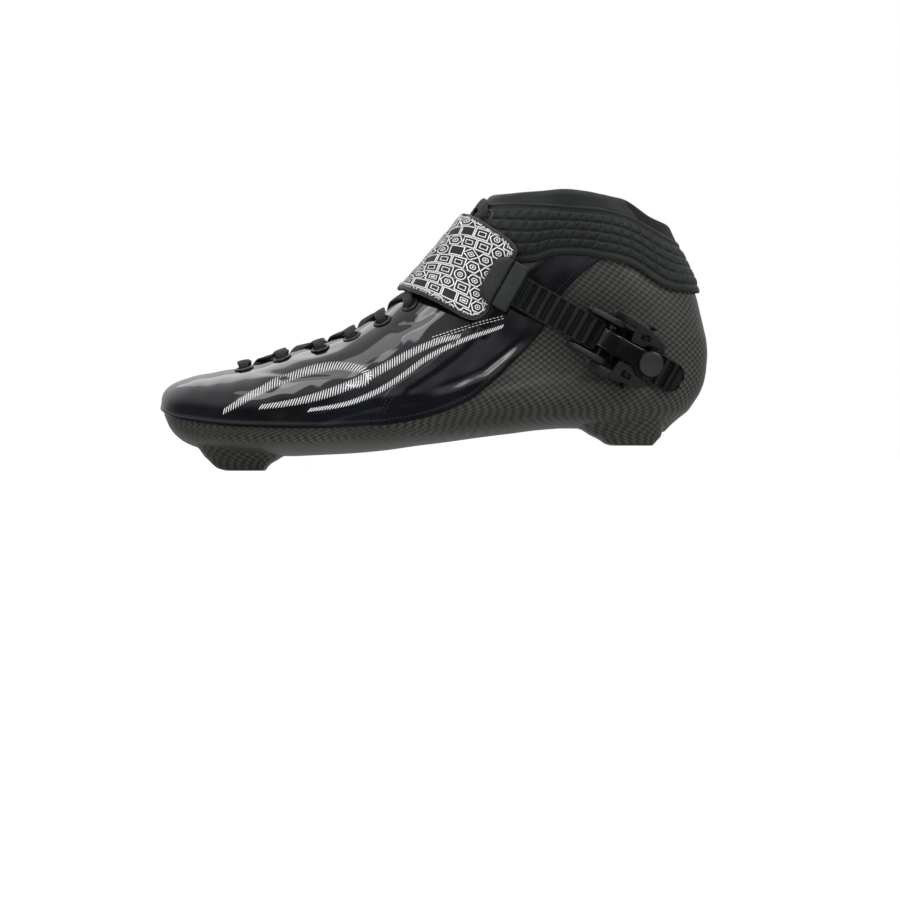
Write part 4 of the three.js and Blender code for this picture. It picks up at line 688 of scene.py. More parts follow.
CARBON, PATENT = mat_carbon(), mat_patent()
COLLAR = mat_leather("embossed_collar", (0.0075, 0.0085, 0.0083), (0.0145, 0.0162, 0.0158), 0.48, 0.60, 1100.0, 0.06, 0.03)
BAND = mat_leather("collar_band", (0.0100, 0.0110, 0.0108), (0.0150, 0.0165, 0.0160), 0.46, 0.58, 1400.0, 0.04, 0.04)
MESHC = mat_cloth("heel_mesh", (0.0010, 0.0010, 0.0010), (0.0100, 0.0105, 0.0108), 0.85, 0.8, 0.30, 0.05)
LINING = mat_cloth("lining_fabric", (0.004, 0.004, 0.0045), (0.014, 0.014, 0.0155), 0.7, 0.8, 0.12, 0.2)
TONGUE = mat_cloth("tongue_fabric", (0.004, 0.004, 0.0045), (0.016, 0.017, 0.0175), 0.95, 0.75, 0.18, 0.15)
FOAM = mat_leather("foam_padding", (0.030, 0.030, 0.031), (0.055, 0.055, 0.056), 0.85, 0.95, 2200.0, 0.1)
FOOTBED = mat_cloth("footbed_foam", (0.008, 0.008, 0.009), (0.030, 0.031, 0.033), 1.1, 0.8, 0.15, 0.2)
PRINT, BRAID = mat_print(), mat_braid()
PLASTIC = mat_plastic("buckle_black", (0.0105, 0.0112, 0.0112), (0.0175, 0.0187, 0.0187), 0.26, 0.38)
MATTE = mat_plastic("strap_cap", (0.0200, 0.0215, 0.0215), (0.0270, 0.0290, 0.0290), 0.46, 0.60, 2600.0, 0.05)
LADDER = mat_plastic("ladder_plastic", (0.0095, 0.0105, 0.0105), (0.0165, 0.0180, 0.0180), 0.26, 0.40)
# painted shade: a darker copy of the ladder plastic, put on the floor of the ladder's groove where shade falls
LADDER_GROOVE_SHADE = mat_plastic("ladder_groove_shade", (0.0025, 0.0026, 0.0026), (0.0050, 0.0053, 0.0053), 0.45, 0.60)
GLOSS = mat_plastic("buckle_gloss", (0.0025, 0.0027, 0.0028), (0.0050, 0.0053, 0.0055), 0.10, 0.20, 1500.0, 0.015, 0.5)
THUMB = mat_plastic("thumb_pad", (0.0190, 0.0200, 0.0185), (0.0260, 0.0272, 0.0250), 0.50, 0.62, 2600.0, 0.04)
STEEL = mat_metal("steel_fastener", (0.22, 0.22, 0.23), (0.32, 0.32, 0.33), 0.26, 0.42)
DARKSTEEL = mat_metal("dark_steel", (0.030, 0.030, 0.031), (0.055, 0.055, 0.056), 0.30, 0.44)
ALU = mat_metal("insert_aluminium", (0.46, 0.47, 0.48), (0.60, 0.61, 0.62), 0.26, 0.42)
EYELET = mat_plastic("eyelet_metal", (0.012, 0.0125, 0.0125), (0.030, 0.031, 0.0305), 0.26, 0.42, 1800.0, 0.04, 0.1, 0.3)
AGLET = mat_plastic("aglet_plastic", (0.006, 0.006, 0.006), (0.012, 0.012, 0.012), 0.15, 0.3)
THREAD = mat_cloth("thread_black", (0.003, 0.003, 0.004), (0.018, 0.019, 0.022), 0.35, 0.5, 0.05, 0.1, True, True)
THREADW = mat_cloth("thread_white", (0.60, 0.61, 0.61), (0.86, 0.86, 0.86), 0.35, 0.5, 0.05, 0.2, True, True)
THREADG = mat_cloth("thread_grey", (0.004, 0.0045, 0.0045), (0.030, 0.032, 0.032), 0.35, 0.5, 0.05, 0.1, True, True)
STRAPM = mat_cloth("medial_strap_plastic", (0.006, 0.006, 0.0065), (0.016, 0.0165, 0.017), 1.4, 0.42, 0.12, 0.02, True)


# ------------------------------------------------------------------ shell and its mounting blocks
def cos_x(a, b, n):
    return a + (b - a) * (1 - np.cos(np.linspace(0, math.pi, n))) / 2


def ring_patch(p, xs, zlo, zhi, side, rows, fr=None):
    Z, L = ring_rows(xs, zlo, zhi, side, rows, fr)
    X = np.repeat(xs[:, None], Z.shape[1], 1)
    return X, Z, L


def curve_dist(x, z, P):
    """Signed distance in the side view to a line of points; positive on its left."""
    P = np.asarray(P, float); best = np.full(np.shape(x), 1e9); sg = np.zeros(np.shape(x)); at = np.zeros(np.shape(x)); run = 0.0
    for a, b in zip(P[:-1], P[1:]):
        d = b - a; L = np.hypot(*d); t = np.clip(((x - a[0]) * d[0] + (z - a[1]) * d[1]) / L ** 2, 0, 1)
        qx, qz = x - a[0] - t * d[0], z - a[1] - t * d[1]; r = np.hypot(qx, qz)
        c = d[0] * qz - d[1] * qx
        w = r < best
        best = np.where(w, r, best); sg = np.where(w, np.sign(c), sg); at = np.where(w, run + t * L, at); run += L
    return best * sg, at / run


def uv_side(X, Z, side):
    """Pattern coordinates: length round the boot and height, going on round under the sole."""
    u = side * ARCS[side].u(X, np.clip(Z, 9, 141))
    zt = z_sole(X) + 7.0
    w, wt = half_width(X, Z, side), half_width(X, np.maximum(zt, Z), side)
    under = np.where(Z < zt, np.hypot(wt - w, zt - Z), 0.0)
    return np.stack([u, np.where(Z < zt, zt - under, Z)], -1)


xs = cos_x(X_TOE, X_HEEL, 300)
lo, hi = z_limits(xs)
shell_top = np.minimum(np.minimum(edge_z(xs) + 2.2 + 2.4 * smooth(30, 60, xs), low_z(xs) + 4.0), hi)
p = Patch()
for s in (-1, 1):
    X, Z, _ = ring_patch(p, xs, lo, np.maximum(shell_top, lo), s, 84)
    p.grid(X, Z, s, uv=uv_side(X, Z, s), flip=True)
p.done()
# the lower ridge that runs back from the ball, and slight unevenness of the laid-up cloth
RIDGE = [[21, 36.7], [56.9, 45.3], [85.8, 45.3], [104, 40]]


def shell_out(P, XZ):
    x, z = XZ[:, 0], XZ[:, 1]
    d, t = curve_dist(x, z, RIDGE)
    fade = smooth(0, 0.12, t) * (1 - smooth(0.8, 1.0, t))
    r = fade * (0.5 * np.exp(-((d + 1.2) / 2.0) ** 2) - 0.45 * np.exp(-((d - 2.6) / 2.6) ** 2))
    und = 0.10 * np.sin(x * 0.21 + z * 0.09) * np.sin(z * 0.17 + 1.3) + 0.05 * np.sin(x * 0.47 + 2) * np.sin(z * 0.39)
    return r + und * smooth(0, 8, z - z_sole(x))


piece("carbon_cup", p, shell_out(p.P, p.XZ), -2.0, CARBON, nodes=("carbon_shell",), rim=4)


def sole_height(x, y):
    """Height of the underside of the last over (x, y)."""
    x, y = np.asarray(x, float), np.asarray(y, float); out = np.zeros_like(x)
    yy = np.abs(y - y_mid(x))
    for s in (-1, 1):
        a = z_limits(x)[0]; b = a + rho_sole(x) + 4
        for _ in range(36):
            m = (a + b) / 2; g = half_width(x, m, s) > yy
            b = np.where(g, m, b); a = np.where(g, a, m)
        out = np.where((y < y_mid(x)) == (s < 0), (a + b) / 2, out)
    return out


def round_rect(x0, x1, w, r, yc, n=24):
    """Rounded rectangle as 4n+4 points, the same number for every size."""
    cx, hx = (x0 + x1) / 2, (x1 - x0) / 2; r = min(r, hx - 0.01, w - 0.01); out = []
    for k, (sx, sy) in enumerate(((1, 1), (-1, 1), (-1, -1), (1, -1))):
        for i in range(n + 1):
            a = math.pi / 2 * (k + i / n)
            out.append([cx + sx * (hx - r) + r * math.cos(a), yc + sy * (w - r) + r * math.sin(a)])
    return np.array(out)


def even(ring, n=120):
    Q = np.vstack([ring, ring[:1]]); d = np.concatenate([[0], np.cumsum(np.linalg.norm(np.diff(Q, axis=0), axis=1))])
    s = np.linspace(0, d[-1], n, endpoint=False)
    return np.stack([np.interp(s, d, Q[:, k]) for k in range(Q.shape[1])], -1)


def loft(rings, uvs=None, close=False):
    """Closed solid through rings of equally many points; the first and last ring are filled, or joined to each other."""
    m = len(rings[0]); V = np.concatenate(rings); F = []
    pairs = [(i, i + 1) for i in range(len(rings) - 1)] + ([(len(rings) - 1, 0)] if close else [])
    for i, k2 in pairs:
        for j in range(m):
            k = (j + 1) % m
            F.append([i * m + j, i * m + k, k2 * m + k, k2 * m + j])
    if not close:
        F.append(list(range(m))[::-1]); F.append([(len(rings) - 1) * m + j for j in range(m)])
    return V, fix_winding(V, F)


def block(name, front, rear, sides, z0, yc, pocket, r0):
    """A mounting block that flares into the sole. front and rear are silhouettes as (height over the face, x), sides as (height, half width)."""
    n = 120; rings = []
    FZ, RZ, SZ = front[-1][0], rear[-1][0], sides[-1][0]
    F_, R_, S_ = pchip(front), pchip(rear), pchip(sides)
    px, py = pocket
    xc = (front[0][1] + rear[0][1]) / 2
    pk = even(round_rect(xc - px, xc + px, py, 1.6, yc), n)
    rings.append(np.c_[pk.mean(0) + (pk - pk.mean(0)) * 0.02, np.full(n, z0 + 6.2)])
    rings.append(np.c_[pk, np.full(n, z0 + 6.2)]); rings.append(np.c_[pk, np.full(n, z0 + 0.25)])
    rings.append(np.c_[pk + (pk - pk.mean(0)) * 0.015, np.full(n, z0)])
    for lam in (0.0, 0.012, 0.04, 0.08, 0.13, 0.2, 0.28, 0.36, 0.45, 0.54, 0.63, 0.71, 0.79, 0.86, 0.92, 0.97, 1.0):
        x0, x1, wd_ = float(F_(lam * FZ)), float(R_(lam * RZ)), float(S_(lam * SZ))
        q = even(round_rect(x0, x1, wd_, r0 + lam * 9, yc), n)
        u = (q[:, 0] - (x0 + x1) / 2) / ((x1 - x0) / 2); v = (q[:, 1] - yc) / wd_
        wf, wr, ws = np.clip(-u, 0, 1) ** 6, np.clip(u, 0, 1) ** 6, np.abs(v) ** 6; tot = wf + wr + ws + 1e-9
        zt = lam * (FZ * wf + RZ * wr + SZ * ws) / tot
        sh = sole_height(q[:, 0], q[:, 1])
        zt = z0 + zt * (1 - smooth(0.6, 1.0, lam)) + (sh + 0.5 - z0) * smooth(0.6, 1.0, lam)
        rings.append(np.c_[q, np.minimum(zt, sh + 0.5)])
    last = rings[-1][:, :2]; c = last.mean(0)
    for f in (0.97, 0.9, 0.75, 0.55, 0.35, 0.12):
        q = c + (last - c) * f
        rings.append(np.c_[q, sole_height(q[:, 0], q[:, 1]) + 0.9])
    V, F = loft(rings)
    per = np.concatenate([[0], np.cumsum(np.linalg.norm(np.diff(rings[12][:, :2], axis=0), axis=1))])
    UV = np.concatenate([r[:, :2] if i < 4 else np.c_[per + 500, r[:, 2]] for i, r in enumerate(rings)])
    UV2 = np.concatenate([UV, V[:, :2]]); fu = []
    for f in F:
        flat_ = all(abs(V[v][2] - z0) < 0.3 for v in f)
        fu.append([v + len(UV) if flat_ else v for v in f])
    return finish_piece(mesh(name, V, F, UV2, fu, sharp=50), CARBON)


block("front_block", [[0, -104.2], [0.76, -107.53], [2.78, -110.55], [5.82, -113.59], [8.86, -117.64], [10.9, -121.5]],
      [[0, -85.1], [2.3, -83.24], [4.55, -80.21], [5.8, -77.17], [7.4, -72.11], [7.9, -67]],
      [[0, 19.8], [0.25, 20.25], [0.7, 20.65], [1.4, 21], [4, 21.8], [6.5, 23.2], [8.6, 25.5], [10.4, 28.2], [11.2, 30.5]], 0.0, float(y_mid(-94.6)), (6.9, 14.4), 6.0)
block("rear_block", [[0, 90.83], [0.8, 87.79], [2.83, 84.75], [4.86, 80.71], [7.2, 74.5], [8.7, 67]],
      [[0, 110.7], [1.3, 112.0], [2.5, 113.1], [4.6, 115.2], [6.9, 117.0]],
      [[0, 18.8], [0.25, 19.25], [0.7, 19.65], [1.4, 20], [4, 20.8], [6.0, 22.0], [7.6, 23.8], [9.0, 26.2]], 12.6, 0.0, (6.9, 13.4), 6.0)


def insert_plate(name, x, z, w, yc, node):
    rings = []
    circ = lambda r: np.stack([x + r * np.cos(np.linspace(0, 2 * math.pi, 96, endpoint=False)), yc + r * np.sin(np.linspace(0, 2 * math.pi, 96, endpoint=False))], -1)

    def rect(g, zz):
        q = even(round_rect(x - 6.5 + g, x + 6.5 - g, w - g, 1.4, yc), 96)
        q = q[np.argsort(np.arctan2(q[:, 1] - yc, q[:, 0] - x) % (2 * math.pi))]
        return np.c_[q, np.full(96, zz)]
    for r, zz in ((2.9, z + 5.9), (2.9, z + 0.45), (3.4, z + 0.02)):
        rings.append(np.c_[circ(r), np.full(96, zz)])
    rings += [rect(0.45, z + 0.02), rect(0.0, z + 0.45), rect(0, z + 5.7), rect(0.3, z + 5.95)]
    V, F = loft(rings, close=True)
    finish_piece(mesh(name, V, F, sharp=30), ALU, nodes=(node,))


insert_plate("front_insert", -94.6, 0.0, 14, float(y_mid(-94.6)), "front_mount_insert")
insert_plate("rear_insert", 100.4, 12.6, 13, 0.0, "rear_mount_insert")


# ------------------------------------------------------------------ patent upper
def patent_top(x, side):
    zt = z_throat(x, side)
    s = smooth(22.0, 27.0, x)
    return np.where(x < 22, zt, zt * (1 - s) + (low_z(x) + 4.0) * s)


ROLLS = [  # (line, height of the swell, its width, side of the groove, depth, groove width)
    ([[-1.3, 35.7], [14, 40.4], [27.6, 46.3], [38, 54.8], [48.8, 64]], 1.15, 2.6, 3.6, 0.7, 1.4),
    ([[-62, 25.5], [-46.3, 30.6], [-27.1, 35.7], [-10, 37.5], [2.3, 38.7]], 0.55, 2.6, -3.2, 0.45, 1.6),
    ([[-92, 44.5], [-86.8, 45.3], [-65.5, 44.3], [-46.3, 44.8], [-36, 47]], 0.35, 2.0, 2.8, 0.30, 1.4),
    ([[42, 97], [50, 88], [53, 80], [52, 74]], 0.55, 3.0, 4.0, 0.35, 1.8),
    ([[-20, 66], [-4, 70], [6, 77], [9, 86]], 0.40, 3.2, 4.4, 0.35, 2.0),
    ([[-70, 52], [-54, 55], [-40, 60]], 0.30, 2.6, 3.4, 0.25, 1.6),
]


def patent_relief(XZ):
    x, z = XZ[:, 0], XZ[:, 1]; h = np.zeros(len(x))
    for P, a, w, g, dp, gw in ROLLS:
        d, t = curve_dist(x, z, P)
        fade = smooth(0, 0.2, t) * (1 - smooth(0.75, 1.0, t))
        h += fade * (a * np.exp(-(d / w) ** 2) - dp * np.exp(-((d - g) / gw) ** 2))
    und = 0.20 * np.sin(x * 0.115 + 0.6 * np.sin(z * 0.09)) * np.sin(z * 0.13 + x * 0.03) + 0.10 * np.sin(x * 0.27 + z * 0.21) + 0.05 * np.sin(x * 0.55 - z * 0.33)
    h += und * smooth(0, 10, z - edge_z(x)) * smooth(-132, -112, x)
    e = z - edge_z(x)
    h += 0.45 * np.exp(-((e - 0.6) / 1.1) ** 2) * (x < 35)   # the turned lower hem
    return h


XT = cos_x(X_TOE, 200.0, 700); XT = XT[XT < 92]
FRV = np.linspace(0, 1, 79)
vamp, quarters = Patch(), []
for s in (-1, 1):
    zl = np.minimum(edge_z(XT), z_limits(XT)[1]); zl = np.maximum(zl, z_limits(XT)[0])
    zh = np.maximum(patent_top(XT, s), zl + 0.2 * smooth(-136.6, -135, XT))
    TZ, _ = ring_rows(XT, zl, zh, s, 78, FRV)      # (x, row)
    Xv, Zv, Xq, Zq = [], [], [], []
    for j in range(len(FRV)):
        g = XT - seam_x(TZ[:, j]); k = np.argmax(g > 0) if (g > 0).any() else len(XT) - 1
        xc = float(np.interp(0, g[max(0, k - 2):k + 1], XT[max(0, k - 2):k + 1]))
        t = np.linspace(0, 1, 170); xv = X_TOE + (xc + 5.0 - X_TOE) * (0.45 * t ** 2 + 0.55 * t ** 1.5)
        Xv.append(xv); Zv.append(np.interp(xv, XT, TZ[:, j]))
        t = np.linspace(0, 1, 100); t = np.where(t < 0.3, t * 0.35, 0.105 + (t - 0.3) / 0.7 * 0.895)
        xq = xc + (91.0 - xc) * t
        Xq.append(xq); Zq.append(np.interp(xq, XT, TZ[:, j]))
    Xv, Zv, Xq, Zq = [np.array(q).T for q in (Xv, Zv, Xq, Zq)]
    # close the toe over the top, where there is no throat
    mid = np.zeros_like(Xv, bool); mid[:, -1] = Xv[:, -1] < -101
    vamp.grid(Xv, Zv, s, flip=True, on_mid=mid)
    q = Patch().grid(Xq, Zq, s, flip=True).done(); quarters.append(q)
vamp.done()
piece("vamp", vamp, 1.3 + patent_relief(vamp.XZ), 0.3, PATENT, nodes=("toe_vamp",), rim=6)
for s, q, nm in ((-1, quarters[0], "lateral"), (1, quarters[1], "medial")):
    d = q.XZ[:, 0] - seam_x(q.XZ[:, 1])
    lift = 1.05 * (1 - smooth(5.5, 11, d)) * (1 - smooth(98, 106, q.XZ[:, 1]))
    rel = patent_relief(q.XZ)
    piece("quarter_skin_" + nm, q, 1.3 + lift + rel - 0.1 * (lift > 0.9), 0.3 + lift + np.where(lift > 0.4, rel, 0), PATENT, nodes=("quarter_" + nm,), rim=6)


# ------------------------------------------------------------------ rows that follow the collar round the heel
def row_line(zf, x0, x1, side, n, K=420):
    x = cos_x(x0, x1, K); z = zf(x); w = half_width(x, z, side)
    y = y_mid(x) + side * w
    d = np.concatenate([[0], np.cumsum(np.sqrt(np.diff(x) ** 2 + np.diff(y) ** 2 + np.diff(z) ** 2))])
    xi = np.interp(np.linspace(0, d[-1], n), d, x)
    return xi, zf(xi)


def first_x(zf, side, lo_x=21.5):
    x = np.linspace(8, 60, 900); z = np.minimum(zf(x), z_top(x) - 1e-6)
    ok = (half_width(x, z, side) > THROAT(x)) & (zf(x) < z_top(x))
    return max(lo_x, float(x[np.argmax(ok)]))


def heel_x(zf):
    x = np.linspace(60, 139, 1200); ok = x_back(zf(x)) < x
    return float(x[np.argmax(ok)]) if ok.any() else 139.0


def rows_patch(zfs, x0f, x1f, cols, sides=(-1, 1)):
    p = Patch(); tt = []
    for s in sides:
        X, Z = [], []
        for k, zf in enumerate(zfs):
            a, b = row_line(zf, x0f(zf, s), x1f(zf), s, cols)
            X.append(a); Z.append(b)
        X, Z = np.array(X).T, np.array(Z).T
        u = np.stack([s * ARCS[s].u(X, Z), Z], -1)
        p.grid(X, Z, s, uv=u, flip=True, on_mid=(half_width(X, Z, s) < 0.02))
    return p.done(tol=4e-3)


NR = 58
col_z = [(lambda t: (lambda x: low_z(x) + (up_z(x) - 0.15 - low_z(x)) * t))(t) for t in np.linspace(0, 1, NR)]
cp = rows_patch(col_z, first_x, heel_x, 300)
x, z, sd = cp.XZ.T
Hc = up_z(x) - 0.15 - low_z(x); dz = z - low_z(x)
U = np.where(sd < 0, ARCS[-1].u(x, z), ARCS[1].u(x, z))
lean = 0.95 - 0.65 * smooth(60, 20, U)
r1 = (dz - 3.3) / np.maximum(Hc - 6.3, 1) * 4.0
r2 = (U + lean * dz) / 5.8
d1 = np.abs(r1 - np.round(r1)) * np.maximum(Hc - 6.3, 1) / 4.0
d2 = np.abs(r2 - np.round(r2)) * 5.8 * 0.80
zone = smooth(2.6, 3.6, dz) * smooth(2.2, 3.2, Hc - dz)
groove = np.maximum(np.exp(-(d1 / 0.50) ** 2), np.exp(-(d2 / 0.46) ** 2))
pill = np.sqrt(np.clip(np.minimum(d1 / 2.2, d2 / 2.2), 0, 1))
puff = 1.0 * np.sin(math.pi * np.clip(dz / np.maximum(Hc, 1), 0, 1)) ** 0.8
calm = 1.0 - 0.6 * smooth(112, 126, x)
relief = zone * calm * (0.50 * pill - 0.62 * groove) + puff - 0.45 * np.exp(-((dz - 2.7) / 0.7) ** 2) - 0.45 * np.exp(-((Hc - dz - 2.1) / 0.7) ** 2) + 0.15 * np.exp(-((Hc - dz - 0.7) / 0.7) ** 2)
fade = smooth(0, 6, x - 24) * 0.6 + 0.4
o = piece("collar_skin", cp, 2.5 + relief * fade, 1.4, COLLAR, nodes=("collar_panel",), rim=4)

mesh_x = pchip(sorted([[142, 94.88], [136.37, 94.88], [131.81, 96.9], [128.27, 99.94], [122, 103.5], [112, 108]]))
tt = np.concatenate([np.linspace(0, 0.62, 14), 0.62 + 0.38 * np.sin(np.linspace(0, math.pi / 2, 16))[1:]])


def band_z(t):
    return lambda x: (up_z(x) + 0.15) + (rim_z(x) - up_z(x) - 0.15) * t


def cross_x(zf):
    x = np.linspace(85, 112, 500)
    return float(x[np.argmax(x > mesh_x(zf(x)))])


def lip(XZ, R=3.3, mid=-1.0, outer=True):
    d = np.clip(rim_z(XZ[:, 0]) - XZ[:, 1], 0, R)
    r = np.sqrt(np.clip(R * R - (R - d) ** 2, 0, None))
    return mid + r if outer else mid - r


for s, nm in ((-1, "lateral"), (1, "medial")):
    b = rows_patch([band_z(t) for t in tt], lambda zf, sd: first_x(zf, sd, 14.0), lambda zf: cross_x(zf) - 0.15, 150, (s,))
    o = piece("rim_roll_" + nm, b, lip(b.XZ) + 0.15 * np.sin(b.XZ[:, 0] * 0.3), lip(b.XZ, outer=False), BAND, nodes=("collar_band_" + nm,), bulge=0.25, rim=4)
b = rows_patch([band_z(t) for t in tt], lambda zf, sd: cross_x(zf) + 0.15, heel_x, 110)
o = piece("heel_mesh_insert", b, lip(b.XZ) - 0.25, lip(b.XZ, outer=False), MESHC, nodes=("achilles_mesh",), bulge=0.2, rim=4)


# ------------------------------------------------------------------ inside: lining, foam, footbed, tongue
def deep(x, z):
    return 2.9 * smooth(10, 42, x) * smooth(28, 46, z)


xl = cos_x(X_TOE + 0.3, X_HEEL - 0.3, 190)
lo, hi = z_limits(xl)
p = Patch()
for s in (-1, 1):
    top = np.minimum(np.minimum(z_throat(xl, s, 0.8), up_z(xl) - 0.15), hi)
    X, Z, _ = ring_patch(p, xl, lo, np.maximum(top, lo + 0.01), s, 64)
    m = np.zeros_like(X, bool); m[:, -1] = xl < -102.5
    p.grid(X, Z, s, uv=uv_side(X, Z, s), flip=True, on_mid=m)
p.done()
dd = deep(p.XZ[:, 0], p.XZ[:, 1])
piece("lining_skin", p, -2.35 - dd, -3.45 - dd, LINING, nodes=("inner_lining",), rim=4)

ptop = pchip([[23, 86], [32, 98], [42, 106], [62, 110.5], [84.7, 110.5], [98.9, 107.5], [111, 99.5], [116, 95], [140, 93]])
xl = cos_x(-86, 138.6, 180); xl = xl[xl > 23]
lo, hi = z_limits(xl)
p = Patch()
for s in (-1, 1):
    zl = np.maximum(lo, 37.2); zh = np.maximum(np.minimum(ptop(xl), hi), zl + 0.01)
    X, Z, _ = ring_patch(p, xl, zl, zh, s, 50)
    p.grid(X, Z, s, flip=True)
p.done()
dd = deep(p.XZ[:, 0], p.XZ[:, 1])
o = piece("ankle_foam", p, -2.28, -2.3 - np.maximum(dd - 0.1, 0.15), FOAM, nodes=("ankle_padding",), rim=4)

foot_z = pchip([[-140, 21], [-125, 17.3], [-105, 14.6], [-80, 13.6], [-50, 14.2], [-20, 16.6], [10, 21.2], [40, 25.4], [70, 27.4], [100, 26.4], [140, 26.4]])
xf = cos_x(-126.5, 122.5, 120); rings = []
tops, bots = [], []
for xx in xf:
    zt = float(foot_z(xx)); wl = float(half_width(np.array([xx]), np.array([zt]), -1)[0]); wm = float(half_width(np.array([xx]), np.array([zt]), 1)[0])
    v = np.linspace(-1, 1, 41); ww = np.where(v < 0, max(wl - 5.2, 0.4), max(wm - 5.2, 0.4))
    y = float(y_mid(xx)) + v * ww
    tops.append(np.stack([np.full(41, xx), y, zt + 1.6 * np.abs(v) ** 4 + 0.8 * np.abs(v) ** 2 * smooth(40, 100, xx)], -1))
    under = sole_height(np.full(41, xx), y) + 4.1
    bots.append(np.stack([np.full(41, xx), y, np.minimum(np.maximum(under, zt - 4.5), tops[-1][:, 2] - 0.5)], -1))
rings = [np.vstack([t, b[::-1]]) for t, b in zip(tops, bots)]
V, F = loft(rings)
o = finish_piece(mesh("footbed_layer", V, F, V[:, :2].copy(), None, sharp=55), FOOTBED, nodes=("footbed",))

tongue_half = pchip([[-88, 12], [-60, 17], [0, 19], [30, 18]])


def z_at_width(x, side, w):
    a = z_top(x).copy(); b = np.maximum(z_sole(x) + rho_sole(x), z_top(x) - rho_top(x) * 1.2)
    for _ in range(40):
        m = (a + b) / 2; g = half_width(x, m, side) > w
        b = np.where(g, m, b); a = np.where(g, a, m)
    return (a + b) / 2


p = Patch()
XL = np.linspace(-86, 46, 220)
for s in (-1, 1):
    zl = z_at_width(XL, s, tongue_half(XL)); TZ, _ = ring_rows(XL, zl, z_top(XL), s, 22)
    X, Z = [], []
    for j in range(23):
        g = TZ[:, j] > 138.6; xe = float(XL[np.argmax(g)]) if g.any() else 44.0
        xq = np.linspace(-86, min(xe, 43.5), 150); X.append(xq); Z.append(np.interp(xq, XL, TZ[:, j]))
    X, Z = np.array(X).T, np.array(Z).T
    m = np.zeros_like(X, bool); m[:, -1] = True
    p.grid(X, Z, s, flip=True, on_mid=m)
p.done()
dd = deep(p.XZ[:, 0], p.XZ[:, 1]); yy = np.abs(p.P[:, 1] - y_mid(p.P[:, 0]))
chan = 0.7 * np.exp(-((yy - 7.5) / 0.8) ** 2) + 0.5 * np.exp(-(((p.P[:, 0] + 200) % 14 - 7) / 0.8) ** 2) * (yy < 7.5)
o = piece("tongue_pad", p, -3.95 - dd - chan, -6.9 - dd, TONGUE, nodes=("tongue",), rim=5)


# ------------------------------------------------------------------ eyelets
ROWS = [-94.5, -75, -56, -39.7, -24.5, -10.5, 2.8, 16.0, 28.6]
EYES = {}
ring_prof = [(2.75, -0.1), (2.72, 0.6), (2.75, 1.55), (2.95, 1.95), (3.35, 2.2), (3.9, 2.24), (4.45, 2.08), (4.85, 1.8), (5.0, 1.52), (4.9, 1.38), (3.3, 1.36), (3.15, 1.2), (3.12, 0.4), (3.1, -0.1)]
for i, xe in enumerate(ROWS):
    for sd in (-1, 1):
        h = float(THROAT(xe)) + (12.0 if i == 8 else 11.4); y0 = float(y_mid(xe)) + sd * h
        c, n = on_top(xe, y0); lift = 1.4 if i == 8 else 0.0
        EYES[(i, sd)] = (xe, y0, c, n, lift, 0.9 if i < 5 else 0.0)
        ax = np.array([1.0, 0, 0]); ax -= n * ax.dot(n); ax /= np.linalg.norm(ax); ay = np.cross(n, ax)
        rings = []
        for r, z in ring_prof:
            zz = z + lift if z > 0.9 else z + lift * 0.5
            a = np.linspace(0, 2 * math.pi, 48, endpoint=False)
            rr = r + 0.05 * np.sin(a * 16) * (3.2 < r < 4.9)
            rings.append(c + np.outer(rr * np.cos(a), ax) + np.outer(rr * np.sin(a), ay) + n * zz)
        V, F = loft(rings, close=True)
        nm = "%s_%d" % ("lateral" if sd < 0 else "medial", i + 1)
        finish_piece(mesh("ring_" + nm, V, F, sharp=60), EYELET, nodes=("eyelet_" + nm,))

# ------------------------------------------------------------------ lace
pts = []


def Vp(x, y, o):
    p, n = on_top(x, y); return p + n * o


def down_through(e, up, last):
    xe, ye, c, n, l, k = e; d = top_dir(xe); sd = -1 if ye < y_mid(xe) else 1
    seq = [(5.6, 3.3 + l + k * 1.2, 6.4), (2.8, (3.6 if last else 3.4) + l + k * 1.1, 6.0), (0.7, 3.0 + l + k * 0.5, 5.2), (0.0, 0.9 + l, 4.4), (0.4, -0.9, 3.8), (2.6, -1.3, 4.4), (6.4, -1.3, 4.8), (9.4, -1.3, 4.8)]
    if last:
        seq = seq[:4] + [(-0.3, -0.7, 4.0)]
    if up:
        seq = seq[::-1]
    for dy, o, w in seq:
        pts.append((Vp(xe, ye - sd * dy, o), w, d))


def lace_half(sgn):
    out, side = [], sgn
    for r in range(1, 9):
        a, b = EYES[(r - 1, side)], EYES[(r, -side)]
        ya, yb = float(THROAT(a[0])) - 2.2, float(THROAT(b[0])) + 0.6
        xm = (a[0] + b[0]) / 2; d = top_dir(xm); over = 2.7 if sgn > 0 else 0.9
        out.append(("p", Vp(a[0] + (b[0] - a[0]) * 0.16, float(y_mid(a[0])) + side * ya, -1.2), 5.0, d))
        out.append(("p", Vp(a[0] + (b[0] - a[0]) * 0.5, float(y_mid(xm)) + side * 0.01, over), 6.0, d))
        out.append(("p", Vp(a[0] + (b[0] - a[0]) * 0.86, float(y_mid(b[0])) - side * yb, 2.75 + b[4]), 6.2, d))
        out.append(("e", b, r == 8)); side = -side
    for x, z, o, w in ((28.4, 123.2, -1.5, 4.4), (27.6, 118.5, -2.1, 4.4), (26.6, 112.6, -2.3, 3.2)):
        out.append(("p", on_side(x, z, side, o)[0], w, np.array([1.0, 0, 0])))
    return out, side


LA, LB = lace_half(-1), lace_half(1)


def emit(lst, rev):
    for q in (lst[::-1] if rev else lst):
        if q[0] == "e":
            down_through(q[1], rev, q[2])
        else:
            pts.append(q[1:])


emit(LA[0], True)
down_through(EYES[(0, -1)], True, False)
x0 = ROWS[0]; pts.append((Vp(x0, float(y_mid(x0)), 2.9), 6.0, top_dir(x0)))
down_through(EYES[(0, 1)], False, False)
emit(LB[0], False)


